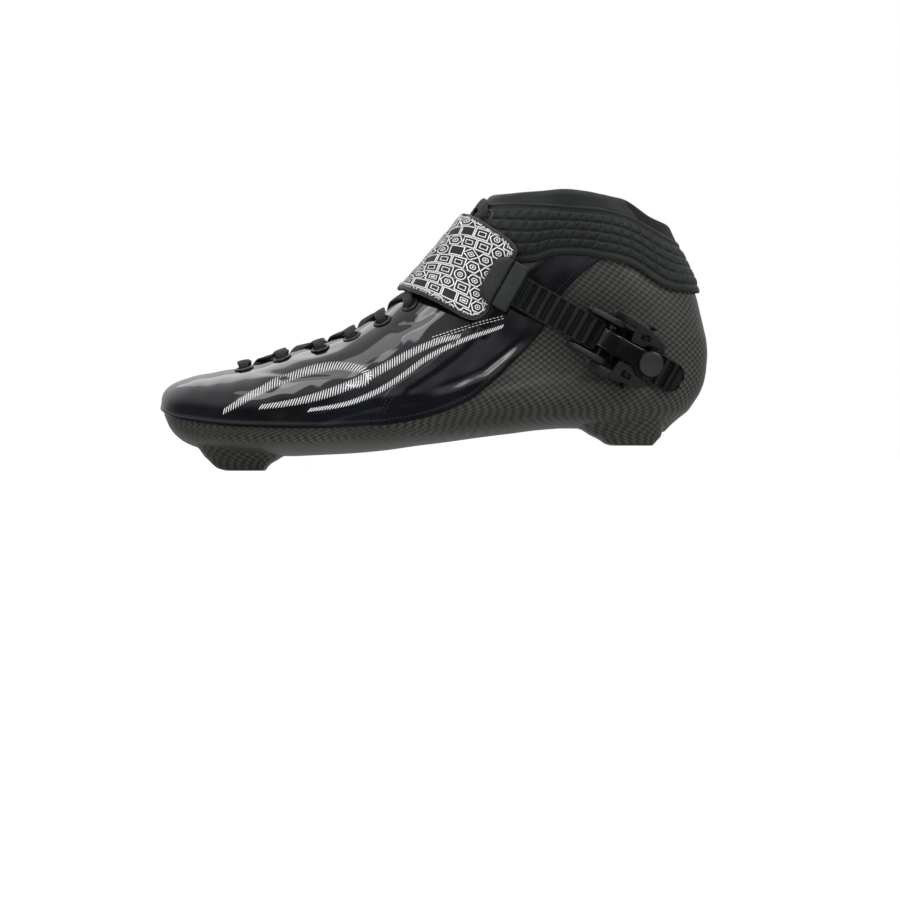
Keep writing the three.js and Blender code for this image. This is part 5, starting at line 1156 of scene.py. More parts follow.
def catmull(P, per):
    """Centripetal Catmull-Rom through P, with the index of each sample."""
    P = np.asarray(P, float); n = len(P)
    ext = np.vstack([2 * P[0] - P[1], P, 2 * P[-1] - P[-2]]); out, idx = [], []
    for i in range(n - 1):
        p0, p1, p2, p3 = ext[i:i + 4]
        t0 = 0.0; t1 = t0 + max(np.linalg.norm(p1 - p0), 1e-4) ** 0.5; t2 = t1 + max(np.linalg.norm(p2 - p1), 1e-4) ** 0.5; t3 = t2 + max(np.linalg.norm(p3 - p2), 1e-4) ** 0.5
        m = max(2, int(math.ceil(np.linalg.norm(p2 - p1) / per)))
        for k in range(m if i < n - 2 else m + 1):
            t = t1 + (t2 - t1) * k / m
            a1 = (t1 - t) / (t1 - t0) * p0 + (t - t0) / (t1 - t0) * p1; a2 = (t2 - t) / (t2 - t1) * p1 + (t - t1) / (t2 - t1) * p2; a3 = (t3 - t) / (t3 - t2) * p2 + (t - t2) / (t3 - t2) * p3
            b1 = (t2 - t) / (t2 - t0) * a1 + (t - t0) / (t2 - t0) * a2; b2 = (t3 - t) / (t3 - t1) * a2 + (t - t1) / (t3 - t1) * a3
            out.append((t2 - t) / (t2 - t1) * b1 + (t - t1) / (t2 - t1) * b2); idx.append(i + k / m)
    return np.array(out), np.array(idx)


C, ix = catmull([q[0] for q in pts], 0.38)
refs = [np.array(q[2], float) for q in pts]
for i in range(1, len(refs)):
    if refs[i].dot(refs[i - 1]) < -0.2:
        refs[i] = -refs[i]
wd = np.interp(ix, range(len(pts)), [q[1] for q in pts])
R = np.stack([np.interp(ix, range(len(refs)), [r[k] for r in refs]) for k in range(3)], -1)
T = np.gradient(C, axis=0); T /= np.linalg.norm(T, axis=1, keepdims=True)
Wx = R - T * np.sum(R * T, 1)[:, None]; Wx /= np.linalg.norm(Wx, axis=1, keepdims=True)
Nn = np.cross(T, Wx)
run = np.concatenate([[0], np.cumsum(np.linalg.norm(np.diff(C, axis=0), axis=1))])
M_ = 22; V, UVs = [], []
a = np.linspace(0, 2 * math.pi, M_, endpoint=False)
cu, su = np.sign(np.cos(a)) * np.abs(np.cos(a)) ** 0.75, np.sign(np.sin(a)) * np.abs(np.sin(a)) ** 0.55
for i in range(len(C)):
    across_ = cu * wd[i] / 2
    rel = 0.22 * np.abs(np.sin(math.pi * (run[i] * 0.72 + 3.0 * np.abs(across_ / 5.6) * np.sign(su + 1e-9) ** 2))) * (np.abs(su) > 0.2)
    up = su * (0.72 + rel)
    V.append(C[i] + np.outer(across_, Wx[i]) + np.outer(up, Nn[i]))
    UVs.append(np.stack([np.full(M_, run[i]), across_ / 5.6 + 0.5], -1))
V, F = loft(V)
finish_piece(mesh("lace_ribbon", V, F, np.concatenate(UVs), None, sharp=None), BRAID, nodes=("lace",))
for sd, nm in ((LA[1], None), (LB[1], None)):
    nm = "aglet_lateral" if sd < 0 else "aglet_medial"
    p0, p1 = on_side(26.5, 111.9, sd, -2.3)[0], on_side(25, 101.5, sd, -2.2)[0]
    d = (p1 - p0) / np.linalg.norm(p1 - p0); a1 = np.cross(d, [0, 1, 0]); a1 /= np.linalg.norm(a1); a2 = np.cross(d, a1); L = np.linalg.norm(p1 - p0)
    an = np.linspace(0, 2 * math.pi, 24, endpoint=False); rings = []
    for f, r in ((0, 0.6), (0.1, 0.8), (0.6, 0.86), (1.2, 0.84), (1.3, 0.78), (1.4, 0.84), (L * 0.5, 0.86), (L - 1.2, 0.84), (L - 0.5, 0.7), (L - 0.1, 0.45)):
        rings.append(p0 + d * f + np.outer(r * np.cos(an), a1) + np.outer(r * np.sin(an), a2))
    V, F = loft(rings)
    finish_piece(mesh("lace_tip_" + ("lateral" if sd < 0 else "medial"), V, F, sharp=40), AGLET, nodes=(nm,))


# ------------------------------------------------------------------ instep pad
pad_lo = pchip([[-19.99, 89.81], [-16.45, 89.31], [-11.38, 88.3], [-6.33, 86.78], [1.27, 83.74], [8.86, 80.2], [15.94, 76.66], [19.99, 75.65], [24.04, 77.17], [26.57, 79.7], [28.59, 86.27], [39.72, 105.5], [41.24, 107.53], [41.74, 110.06]])
pad_up = pchip([[2, 131.5], [8.5, 132.5], [15.94, 127.26], [24.04, 123.72], [31.62, 118.66], [36.69, 115.11], [39.97, 112.59], [41.74, 110.06]])
xx = np.linspace(-20, 0, 400); XP0 = float(xx[np.argmax(z_top(xx) > pad_lo(xx))]) + 0.02
xp = XP0 + (41.70 - XP0) * (0.6 * np.linspace(0, 1, 110) + 0.4 * (1 - np.cos(np.linspace(0, math.pi, 110))) / 2)
p = Patch()
for s in (-1, 1):
    zl = pad_lo(xp); zh = np.minimum(z_top(xp), pad_up(xp)); zh = np.maximum(zh, zl + 0.02)
    Z, L = ring_rows(xp, zl, zh, s, 70); X = np.repeat(xp[:, None], 71, 1)
    m = np.zeros_like(X, bool); m[:, -1] = z_top(xp) <= pad_up(xp)
    b = np.linspace(0, 1, 71)[None, :] * L[:, None] + (zl - 100)[:, None]
    th = math.radians(23.5)
    uv = np.stack([s * (X * math.cos(th) - b * math.sin(th)), X * math.sin(th) + b * math.cos(th)], -1)
    p.grid(X, Z, s, uv=uv, flip=True, on_mid=m)
p.done()
e = np.array([0.35 * math.sin(q * 1.9) for q in p.P[:, 0] + p.P[:, 2] * 0.6])
V, faces, fu, border = thicken(p, 7.5, 5.0, 1.2, rim=6)
bound = np.array([v for ed in border for v in ed])
BP = p.P[np.unique(bound)]
from mathutils.kdtree import KDTree
kd = KDTree(len(BP))
for i, q in enumerate(BP):
    kd.insert(q, i)
kd.balance()
dist = np.array([kd.find(q)[2] for q in p.P])
out = 7.35 + 0.22 * smooth(0.6, 4.0, dist) - 0.30 * np.exp(-((dist - 1.35) / 0.5) ** 2) + 0.10 * np.sin(p.P[:, 0] * 0.5 + p.P[:, 2] * 0.3)
V, faces, fu, border = thicken(p, out, 5.0, 1.15, rim=6)
PAD = mesh("instep_pad_skin", V, faces, p.loopuv, fu)
EDGE = mat_cloth("pad_edge", (0.010, 0.010, 0.011), (0.030, 0.031, 0.032), 0.6, 0.7, 0.1, 0.3, False, True)
PAD.data.materials.append(PRINT); PAD.data.materials.append(EDGE)
nf = len(p.F); mi = np.zeros(len(PAD.data.polygons), int)
if len(mi) == len(faces):
    mi[nf:] = 1
    near = np.array([min(dist[v] for v in f) for f in p.F]); mi[:nf][near < 0.45] = 1
PAD.data.polygons.foreach_set("material_index", mi.tolist())
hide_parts("instep_pad")
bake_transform(PAD)
# the thread along the pad's edge
B = Bits()
loops = {}
for a_, b_ in border:
    loops[a_] = b_
ring_, seen = [], set()
start_ = border[0][0]; cur = start_
while cur not in seen:
    seen.add(cur); ring_.append(cur); cur = loops.get(cur, start_)
rl_ = ring_ + [ring_[0]]; ds_ = np.concatenate([[0], np.cumsum(np.linalg.norm(np.diff(p.P[rl_], axis=0), axis=1))]); at_ = np.linspace(0, ds_[-1], int(ds_[-1] / 0.5))
Q = np.stack([np.interp(at_, ds_, p.P[rl_][:, k]) for k in range(3)], -1); Qn = np.stack([np.interp(at_, ds_, p.N[rl_][:, k]) for k in range(3)], -1); Qn /= np.linalg.norm(Qn, axis=1, keepdims=True)
tg = np.gradient(Q, axis=0); tg /= np.linalg.norm(tg, axis=1, keepdims=True); inw = np.cross(Qn, tg)
B.row(Q + inw * 1.35 + Qn * 7.62, Qn, 1.15, 1.05, 0.42, 0.42)
T_ = B.make("pad_edge_stitches"); T_.data.materials.append(THREADW)
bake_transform(T_)


# ------------------------------------------------------------------ ladder, cap and buckle, in their own frame
THETA = math.atan2(90, 161); PIN_X, PIN_Z = 85.67, 65.43; ARC_R, ARC_S0, ARC_Y = 200.0, 27.0, -39.0
Dv, Hv, Ov = np.array([math.cos(THETA), 0, -math.sin(THETA)]), np.array([math.sin(THETA), 0, math.cos(THETA)]), np.array([0.0, -1.0, 0.0])
apex = np.array([PIN_X, 0, PIN_Z]) - Dv * ARC_S0; axis0 = np.array([apex[0], ARC_Y + ARC_R, apex[2]])


def arc(Q):
    s, h, o = np.asarray(Q, float).T; f = (s + ARC_S0) / ARC_R
    return axis0 + Dv * ((ARC_R + o) * np.sin(f))[:, None] + Ov * ((ARC_R + o) * np.cos(f))[:, None] + Hv * h[:, None]


f0 = ARC_S0 / ARC_R; d0 = Dv * math.cos(f0) - Ov * math.sin(f0); o0 = Ov * math.cos(f0) + Dv * math.sin(f0); org = arc([[0, 0, 0]])[0]


def flat(Q):
    Q = np.asarray(Q, float)
    return org + np.outer(Q[:, 0], d0) + np.outer(Q[:, 1], Hv) + np.outer(Q[:, 2], o0)


def body_o(s, h):
    """How far out along o the last's surface lies."""
    s, h = np.asarray(s, float), np.asarray(h, float); a, b = np.full(len(s), -25.0), np.full(len(s), 8.0)
    for _ in range(30):
        m = (a + b) / 2; v = arc(np.c_[s, h, m]); inside = (np.abs(v[:, 1] - y_mid(v[:, 0])) < half_width(v[:, 0], v[:, 2], -1))
        a = np.where(inside, m, a); b = np.where(inside, b, m)
    return (a + b) / 2


CAP_END, TIP, PITCH = -49.0, 45.5, 5.25
ss = np.unique(np.concatenate([np.arange(CAP_END - 6, TIP - 7, 0.22), np.linspace(TIP - 7, TIP - 0.02, 48)]))
teeth = [TIP - 5.4 - k * PITCH for k in range(17)]


def ladder_top(s):
    z = np.full_like(s, 1.55)
    for t in teeth:
        if t - 3 > CAP_END + 5.6:
            up = smooth(t - 3.05, t - 2.45, s) * (1 - smooth(t - 0.75, t - 0.15, s))
            z = np.maximum(z, 1.55 + 1.6 * up)
    zone = smooth(CAP_END - 0.5, CAP_END, s) * (1 - smooth(CAP_END + 5.4, CAP_END + 5.9, s))
    z = np.where(zone > 0, 1.7 + zone * (0.9 + 0.35 * np.sin((s - CAP_END) * 2 * math.pi / 1.45)), z)
    z = np.where(s < CAP_END, 3.1, z)
    return z - 0.6 * smooth(TIP - 2.2, TIP, s)


def ladder_half(s):
    c = TIP - 7.0
    return np.where(s > c, 1.0 + np.sqrt(np.clip(49.0 - (s - c) ** 2, 0.02, None)), 8.0)


rings = []
for s_, t_, hw in zip(ss, ladder_top(ss), ladder_half(ss)):
    hs = np.concatenate([np.linspace(-1, -0.86, 5), np.linspace(-0.82, 0.82, 9), np.linspace(0.86, 1, 5)]) * hw
    rail = 2.45 - 0.5 * smooth(TIP - 2.2, TIP, s_)
    edge = np.abs(hs) / hw
    top = np.where(edge > 0.90, max(rail, 2.3) - 0.35 * smooth(0.97, 1.0, edge), np.where(edge > 0.86, max(rail, t_) if t_ > rail else t_ + (rail - t_) * 0.5, t_))
    top = np.where((edge > 0.90) & (s_ < CAP_END + 1), t_, top)
    up = np.c_[np.full(len(hs), s_), hs, top]
    dn = np.c_[np.full(9, s_), np.linspace(1, -1, 9) * hw * 0.985, np.full(9, 0.02)]
    rings.append(arc(np.vstack([up, dn])))
V, F = loft(rings)
LB_ = mesh("ladder_bar", V, F, sharp=35)
finish_piece(LB_, LADDER, "strap", ("ladder_strap",))
# the groove floor between the rails and teeth gets the darker painted-shade copy of the ladder plastic
LB_.data.materials.append(LADDER_GROOVE_SHADE); mi = []
for q in LB_.data.polygons:
    c_ = np.array(q.center) * 1000 + np.array([0.54, -0.675, 0]) - axis0
    rad = math.hypot(c_.dot(Dv), c_.dot(Ov)) - ARC_R; s_ = ARC_R * math.atan2(c_.dot(Dv), c_.dot(Ov)) - ARC_S0
    mi.append(1 if 1.0 < rad < 2.15 and abs(c_.dot(Hv)) < 7.0 and CAP_END < s_ < TIP - 4 else 0)
LB_.data.polygons.foreach_set("material_index", mi)


def outline_inset(Q, d):
    """Moves a convex-ish closed outline inwards by d."""
    n = len(Q); nx = np.roll(Q, -1, 0); pv = np.roll(Q, 1, 0); t = nx - pv; t /= np.maximum(np.linalg.norm(t, axis=1, keepdims=True), 1e-9)
    area_ = 0.5 * np.sum(Q[:, 0] * nx[:, 1] - nx[:, 0] * Q[:, 1]); sg = 1 if area_ > 0 else -1
    return Q + np.c_[-t[:, 1], t[:, 0]] * d * sg


def pillow(Q, o_lo, o_hi, r, crown=0.0, fn=arc, dish=0.0, steps=6):
    """Closed solid over the plan outline Q (s, h): walls from o_lo up, an edge of radius r and a top at o_hi with a crown."""
    o_lo = np.broadcast_to(np.asarray(o_lo, float), (len(Q),)); c = Q.mean(0); R0 = np.linalg.norm(Q - c, axis=1).max()
    rings = [np.c_[outline_inset(Q, 0.3), o_lo], np.c_[Q, o_lo + 0.3], np.c_[Q, np.full(len(Q), o_hi - r)]]
    for k in range(1, steps + 1):
        a_ = math.pi / 2 * k / steps; rings.append(np.c_[outline_inset(Q, r * (1 - math.cos(a_))), np.full(len(Q), o_hi - r + r * math.sin(a_))])
    last = rings[-1][:, :2]
    for f in (0.88, 0.72, 0.54, 0.36, 0.18, 0.03):
        q = c + (last - c) * f; rr = np.linalg.norm(q - c, axis=1) / R0
        rings.append(np.c_[q, np.full(len(Q), o_hi) + crown * (1 - rr ** 2) - crown * (1 - (np.linalg.norm(last - c, axis=1) / R0) ** 2) - dish * (1 - rr) * 1.0])
    return loft([fn(q) for q in rings])


def arcpts(cx, cy, r, a0, a1, n):
    a_ = np.radians(np.linspace(a0, a1, n)); return np.c_[cx + r * np.cos(a_), cy + r * np.sin(a_)]


def poly(*P, n=140):
    return even(np.vstack([np.atleast_2d(q) for q in P]), n)


nose = poly([[-57.35, -12.3]], [[-58.2, -12.4]], arcpts(-59.8, -6.2, 6.2, 270, 180, 18), arcpts(-59.8, 6.2, 6.2, 180, 90, 18), [[-58.2, 12.4]], [[-57.35, 12.3]])
sleeve = poly([[-49.0, -12.1]], [[-49.4, -12.4]], [[-56.4, -12.4]], [[-56.75, -12.1]], [[-56.75, 12.1]], [[-56.4, 12.4]], [[-49.4, 12.4]], [[-49.0, 12.1]])
core = poly([[-50.2, -11.2]], [[-61, -11.2]], [[-64, -6]], [[-64, 6]], [[-61, 11.2]], [[-50.2, 11.2]])
parts = []
for q, top, r, cr in ((nose, 7.0, 2.3, 0.30), (sleeve, 7.3, 1.1, 0.15), (core, 4.6, 0.5, 0.0)):
    lo_o = np.clip(body_o(q[:, 0], q[:, 1]) + 7.35, -6.0, 3.0)
    parts.append(pillow(q, lo_o, top, r, cr))


def join(name, parts, sharp=35):
    B_ = Bits()
    for V_, F_ in parts:
        B_.add(V_, F_)
    return mesh(name, np.concatenate(B_.V), B_.F, sharp=sharp)


finish_piece(join("strap_cap", parts), MATTE, "strap", ("strap_end_cap",))


def sections(rows, fn=flat, n=40, pw=4.0):
    """Loft of rounded sections: rows are (s, half width, lowest o, highest o[, centre h])."""
    rings = []
    a_ = np.linspace(0, 2 * math.pi, n, endpoint=False)
    cx, cy = np.sign(np.cos(a_)) * np.abs(np.cos(a_)) ** (2 / pw), np.sign(np.sin(a_)) * np.abs(np.sin(a_)) ** (2 / pw)
    for row in rows:
        s_, hw, lo_, hi_ = row[:4]; hc = row[4] if len(row) > 4 else 0.0
        rings.append(fn(np.c_[np.full(n, s_), hc + cx * hw, (lo_ + hi_) / 2 + cy * (hi_ - lo_) / 2]))
    return loft(rings)


# lever: drum, waist and lobe; the matte thumb pad sits on the lobe
lv = pchip([[-4.4, 8.2], [-4.3, 9.1], [-3.9, 10.2], [-3.1, 11.3], [-1.8, 12.2], [0, 12.6], [1.6, 12.55], [3.2, 12.2], [4.6, 12.0], [7, 12.3], [10, 12.75], [14, 13.0], [20, 13.1], [26, 12.9], [30, 12.3], [31.4, 11.3]])
lb = pchip([[-4.4, 8.2], [-4.3, 7.3], [-3.9, 6.2], [-3.1, 5.1], [-1.8, 4.2], [0, 3.8], [1.8, 4.2], [3.4, 5.4], [5.5, 7.4], [9, 8.9], [13, 9.9], [24, 10.0], [30.6, 9.5], [31.4, 10.4]])
sv = np.unique(np.concatenate([-4.4 + 8.8 * (1 - np.cos(np.linspace(0, math.pi, 40))) / 2, np.linspace(4.4, 18.2, 40), 24.8 + 6.6 * np.sin(np.linspace(-math.pi / 2 + 0.02, math.pi / 2 - 0.02, 40))]))
hwf = pchip([[-4.4, 5.0], [6.2, 5.0], [7.4, 4.95], [8.6, 4.8], [15.6, 4.8], [17.2, 4.9], [18.4, 5.2]])
rowsL = []
for s_ in sv:
    hw = float(hwf(s_)); rl = 6.6 ** 2 - (s_ - 24.8) ** 2
    if s_ > 18.4:
        hw = math.sqrt(max(rl, 0.05))
    elif rl > 0:
        hw = max(hw, math.sqrt(rl))
    rowsL.append((s_, hw, float(lb(s_)), max(float(lv(s_)), float(lb(s_)) + 0.05)))
lever_parts = [sections(rowsL, n=56, pw=7.0)]
for hh in (-4.0, 4.0):     # flanges that end the drum
    lever_parts.append(sections([(s_, 0.55, 8.2 - r_, 8.2 + r_, hh * 1.06) for s_, r_ in [(-4.62 * math.cos(q), max(4.62 * math.sin(q), 0.05)) for q in np.linspace(0.0, math.pi, 40)]], n=16, pw=3.0))
o = join("lever_body", lever_parts, 30); finish_piece(o, GLOSS, "lever", ("buckle_lever",))
th_ = arcpts(24.8, 0, 5.9, 0, 360, 73)[:-1]
V, F = pillow(even(th_, 96), 12.3, 13.75, 0.55, 0.0, flat, dish=0.55)
finish_piece(mesh("lever_thumb_pad", V, F, sharp=40), THUMB, "lever")


def prism(Q, o_lo, o_hi, r=0.35, fn=flat, n=160):
    """A flat plate with rounded upper and lower edges over the plan outline Q."""
    Q = even(np.asarray(Q, float), n); rings = []
    for k in range(4):
        a_ = math.pi / 2 * k / 3; rings.append(np.c_[outline_inset(Q, r * (1 - math.sin(a_))), np.full(n, o_lo + r * (1 - math.cos(a_)))])
    for k in range(4):
        a_ = math.pi / 2 * k / 3; rings.append(np.c_[outline_inset(Q, r * (1 - math.cos(a_))), np.full(n, o_hi - r + r * math.sin(a_))])
    return loft([fn(q) for q in rings])


def ring_plate(Q, hole, o_lo, o_hi, r=0.3, fn=flat, n=160):
    """A plate with a hole: both outlines get the same number of points."""
    def al(P):
        P = even(np.asarray(P, float), n); c = np.asarray(hole, float).mean(0)
        if 0.5 * np.sum(P[:, 0] * np.roll(P[:, 1], -1) - np.roll(P[:, 0], -1) * P[:, 1]) < 0:
            P = P[::-1]
        return np.roll(P, -int(np.argmin(np.abs(np.arctan2(P[:, 1] - c[1], P[:, 0] - c[0])))), axis=0)
    Q, Hh = al(Q), al(hole); rings = []
    for k in range(4):
        a_ = math.pi / 2 * k / 3; rings.append(np.c_[outline_inset(Q, r * (1 - math.sin(a_))), np.full(n, o_lo + r * (1 - math.cos(a_)))])
    for k in range(4):
        a_ = math.pi / 2 * k / 3; rings.append(np.c_[outline_inset(Q, r * (1 - math.cos(a_))), np.full(n, o_hi - r + r * math.sin(a_))])
    rings.append(np.c_[outline_inset(Hh, -0.2), np.full(n, o_hi)]); rings.append(np.c_[Hh, np.full(n, o_hi - 0.25)]); rings.append(np.c_[Hh, np.full(n, o_lo + 0.25)]); rings.append(np.c_[outline_inset(Hh, -0.2), np.full(n, o_lo)])
    return loft([fn(q) for q in rings], close=True)


def side_plate(P, h0, h1, r=0.35, fn=flat, n=120):
    """A plate standing on edge: outline in (s, o) between h0 and h1, edges rounded."""
    g = lambda q: fn(np.c_[q[:, 0], q[:, 2], q[:, 1]])
    return prism(P, h0, h1, r, g, n)


# latch: two side arms, shoulders with a window each, and the rear bar
arm = [[-3.0, 9.0], [-4.2, 7.4], [-3.6, 5.6], [2, 5.2], [6, 5.0], [12, 3.6], [17.5, 3.0], [23, 3.4], [26.5, 5.4], [27.2, 7.2], [26.4, 8.6], [24, 9.6], [17.5, 10.3], [10, 10.1], [4, 9.8]]
lp_ = []
for sg in (-1, 1):
    lo_h, hi_h = (12.15, 15.9) if sg > 0 else (-15.9, -12.15)
    rowsA = []
    for s_ in np.linspace(-4.2, 27.0, 60):
        outer = float(pchip([[-4.2, 15.2], [0, 16.2], [5, 16.5], [9, 16.2], [13, 15.2], [20, 13.9], [27, 12.6]])(s_)); inner = float(pchip([[-4.2, 12.7], [0, 12.15], [12, 12.15], [18, 12.0], [27, 11.4]])(s_))
        top = float(pchip([[-4.2, 7.9], [-3, 9.2], [4, 9.9], [10, 10.3], [17.5, 10.4], [24, 9.8], [26.4, 8.8], [27, 7.6]])(s_)); bot = float(pchip([[-4.2, 7.0], [-3.6, 5.6], [6, 5.0], [12, 3.6], [17.5, 3.0], [23, 3.4], [26.5, 5.4], [27, 6.9]])(s_))
        rowsA.append((s_, (outer - inner) / 2, bot, top, sg * (outer + inner) / 2))
    lp_.append(sections(rowsA, n=28, pw=5.0))
    sh = [[10.4, 5.9], [11.2, 5.4], [16.6, 5.4], [18.2, 6.6], [18.9, 7.6], [21.5, 8.6], [26.8, 8.9], [27.4, 9.6], [27.0, 12.2], [20, 14.2], [13, 15.4], [9.9, 15.6], [9.6, 14.9], [9.9, 8.5]]
    win = [[14.6, 8.6], [19.0, 9.4], [19.2, 11.6], [18.6, 12.0], [14.6, 12.0], [14.2, 11.6], [14.2, 9.0]]
    lp_.append(ring_plate([[a_, sg * b_] for a_, b_ in sh], [[a_, sg * b_] for a_, b_ in win], 9.75, 11.15))
    # grip ribs on the arm
    for k in range(4):
        s_ = -2.4 + k * 1.5; lp_.append(sections([(s_ - 0.4, 1.5, 9.2, 9.9 + 0.08 * s_, sg * 14.2), (s_, 1.7, 9.0, 10.5 + 0.08 * s_, sg * 14.2), (s_ + 0.4, 1.5, 9.2, 9.9 + 0.08 * s_, sg * 14.2)], n=16, pw=3))
lp_.append(side_plate([[22.2, 6.8], [25.6, 6.4], [26.4, 7.4], [25.4, 8.6], [22.0, 8.8]], -12.4, 12.4, 0.25))
lp_.append(side_plate([[18.8, 7.1], [23, 6.9], [23, 8.7], [18.8, 8.5]], -8.3, 5.2, 0.2))
tooth = [[15.4, 6.8], [15.1, 4.6], [15.9, 3.65], [17.9, 3.9], [19.6, 5.2], [19.6, 6.8], [19.0, 8.0], [17.5, 8.5], [16.0, 8.0]]
lp_.append(side_plate(tooth, -8.3, 5.2, 0.2))
finish_piece(join("latch_frame", lp_, 32), PLASTIC, "latch", ("release_latch",))

# base: plate curved to the shell, pin ears and side rails
bp = []
pl = poly([[-15, -10.2]], [[-13.6, -11.6]], [[26, -11.6]], arcpts(26, -5.8, 5.8, -90, 0, 12)[1:], arcpts(26, 5.8, 5.8, 0, 90, 12)[:-1], [[26, 11.6]], [[-13.6, 11.6]], [[-15, 10.2]])
lo_o = np.maximum(body_o(pl[:, 0], pl[:, 1]) + 0.35, -6.0); lo_o = np.minimum(lo_o, -1.2)
bp.append(pillow(pl, lo_o, -0.45, 0.5, 0.0, arc))
fe = [[-13, -1], [-13, 3.6], [-6, 8.5]] + arcpts(0, 8.2, 4.2, 150, 20, 14).tolist() + [[6, 3.5], [6.5, -1]]
re_ = [[12.5, -1]] + arcpts(17.5, 6.2, 3.3, 180, 0, 14).tolist() + [[22.5, -1]]
for sg in (-1, 1):
    a_, b_ = (8.85, 11.55) if sg > 0 else (-11.55, -8.85)
    bp.append(side_plate(fe, a_, b_, 0.4)); bp.append(side_plate(re_, a_, b_, 0.3))
    bp.append(side_plate([[-14.6, -0.9], [-14.6, 2.2], [-13.6, 3.0], [8, 3.2], [20, 2.6], [27, 1.6], [29.5, 0.2], [29.5, -0.9]], a_ + 0.5, b_ - 0.5, 0.3))
    # boss round the lever pin's head
    cen = np.linspace(0, 2 * math.pi, 40, endpoint=False); face = sg * 11.55
    bp.append(loft([flat(np.c_[r_ * np.cos(cen), np.full(40, face + sg * t_), 8.2 + r_ * np.sin(cen)]) for r_, t_ in ((2.9, -0.4), (2.9, 0.15), (2.6, 0.38), (1.9, 0.38), (1.85, 0.1))]))
finish_piece(join("buckle_bed", bp, 32), PLASTIC, "root", ("buckle_base",))


# ------------------------------------------------------------------ medial strap and its screw
ms_lo = pchip([[18, 104], [24, 88], [34, 80], [62, 66], [89, 52.8], [93, 52.6], [97, 55.5], [100.5, 62.8]])
ms_hi = pchip([[18, 106], [26, 111.5], [34, 115], [44, 104], [70, 86], [92, 73.4], [97.5, 70.0], [100.5, 63.2]])
xm = 18.2 + (100.3 - 18.2) * (0.7 * np.linspace(0, 1, 120) + 0.3 * (1 - np.cos(np.linspace(0, math.pi, 120))) / 2)
p = Patch(); zl, zh = ms_lo(xm), np.minimum(ms_hi(xm), low_z(xm) + 40); zh = np.maximum(zh, zl + 0.05)
Z, L = ring_rows(xm, zl, zh, 1, 26); X = np.repeat(xm[:, None], 27, 1)
th = math.radians(-27)
p.grid(X, Z, 1, uv=np.stack([X * math.cos(th) + Z * math.sin(-th) * -1, X * math.sin(-th) + Z * math.cos(th)], -1), flip=True).done()
rise = 0.35 + 1.25 * (1 - smooth(60, 78, p.XZ[:, 0])) + 1.5 * smooth(82, 97, p.XZ[:, 1])
v01 = (p.XZ[:, 1] - ms_lo(p.XZ[:, 0])) / np.maximum(ms_hi(p.XZ[:, 0]) - ms_lo(p.XZ[:, 0]), 1)
rib = 0.22 * (np.exp(-((v01 - 0.16) / 0.035) ** 2) + np.exp(-((v01 - 0.84) / 0.035) ** 2)) * smooth(30, 40, p.XZ[:, 0]) * (1 - smooth(84, 90, p.XZ[:, 0]))
piece("medial_strap_band", p, rise + 1.15 + rib, rise, STRAPM, nodes=("medial_strap",), rim=6)


def side_frame(x, z, s):
    c, n = on_side(x, z, s); ax = np.array([1.0, 0, 0]); ax -= n * ax.dot(n); ax /= np.linalg.norm(ax)
    return c, ax, np.cross(n, ax), n


def turned(fr, prof, n=48, fn=None):
    c, ax, ay, nn = fr; a_ = np.linspace(0, 2 * math.pi, n, endpoint=False); rings = []
    for r, z in prof:
        rr = np.full(n, r) if fn is None else fn(a_, r, z)
        rings.append(c + np.outer(rr * np.cos(a_), ax) + np.outer(rr * np.sin(a_), ay) + nn * z)
    return loft(rings)


hexf = lambda R_: (lambda a_, r, z: R_ * math.cos(math.pi / 6) / np.cos((a_ % (math.pi / 3)) - math.pi / 6) if r < 0 else np.full(len(a_), r))
fr = side_frame(92, 62, 1)
V, F = turned(fr, [(1.9, -3.8), (1.9, 2.4), (4.3, 2.85), (4.35, 3.3), (4.25, 3.9), (3.7, 4.6), (2.9, 4.95), (1.9, 5.05), (-1, 5.0), (-1, 3.4), (0.15, 3.3)], fn=hexf(1.45))
finish_piece(mesh("strap_screw", V, F, sharp=30), DARKSTEEL, nodes=("medial_screw",))


# ------------------------------------------------------------------ stitching
def stitch_line(P, side, off, B, pitch=2.0, length=1.5, width=0.55, height=0.45, shift=0.0):
    """Stitches on a line of side-view points; shift moves the line to its left."""
    P = np.asarray(P, float)
    d = np.concatenate([[0], np.cumsum(np.hypot(*np.diff(P, axis=0).T))]); s_ = np.linspace(0, d[-1], max(8, int(d[-1] / 1.2)))
    x_, z_ = pchip(zip(d, P[:, 0]))(s_), pchip(zip(d, P[:, 1]))(s_)
    t = np.gradient(np.c_[x_, z_], axis=0); t /= np.linalg.norm(t, axis=1, keepdims=True)
    x_, z_ = x_ - t[:, 1] * shift, z_ + t[:, 0] * shift
    Q, N_ = side_points(x_, z_, side, 0.0)
    o_ = off(x_, z_) if callable(off) else np.full(len(x_), off)
    B.row(Q + N_ * o_[:, None], N_, pitch, length, width, height)


def pat_off(x_, z_):
    return 1.3 + patent_relief(np.c_[x_, z_])


def quarter_off(x_, z_):
    d_ = x_ - seam_x(z_)
    return 1.3 + np.where(d_ > 0, 0.95 * (1 - smooth(5.5, 11, d_)), 0.0) + patent_relief(np.c_[x_, z_])


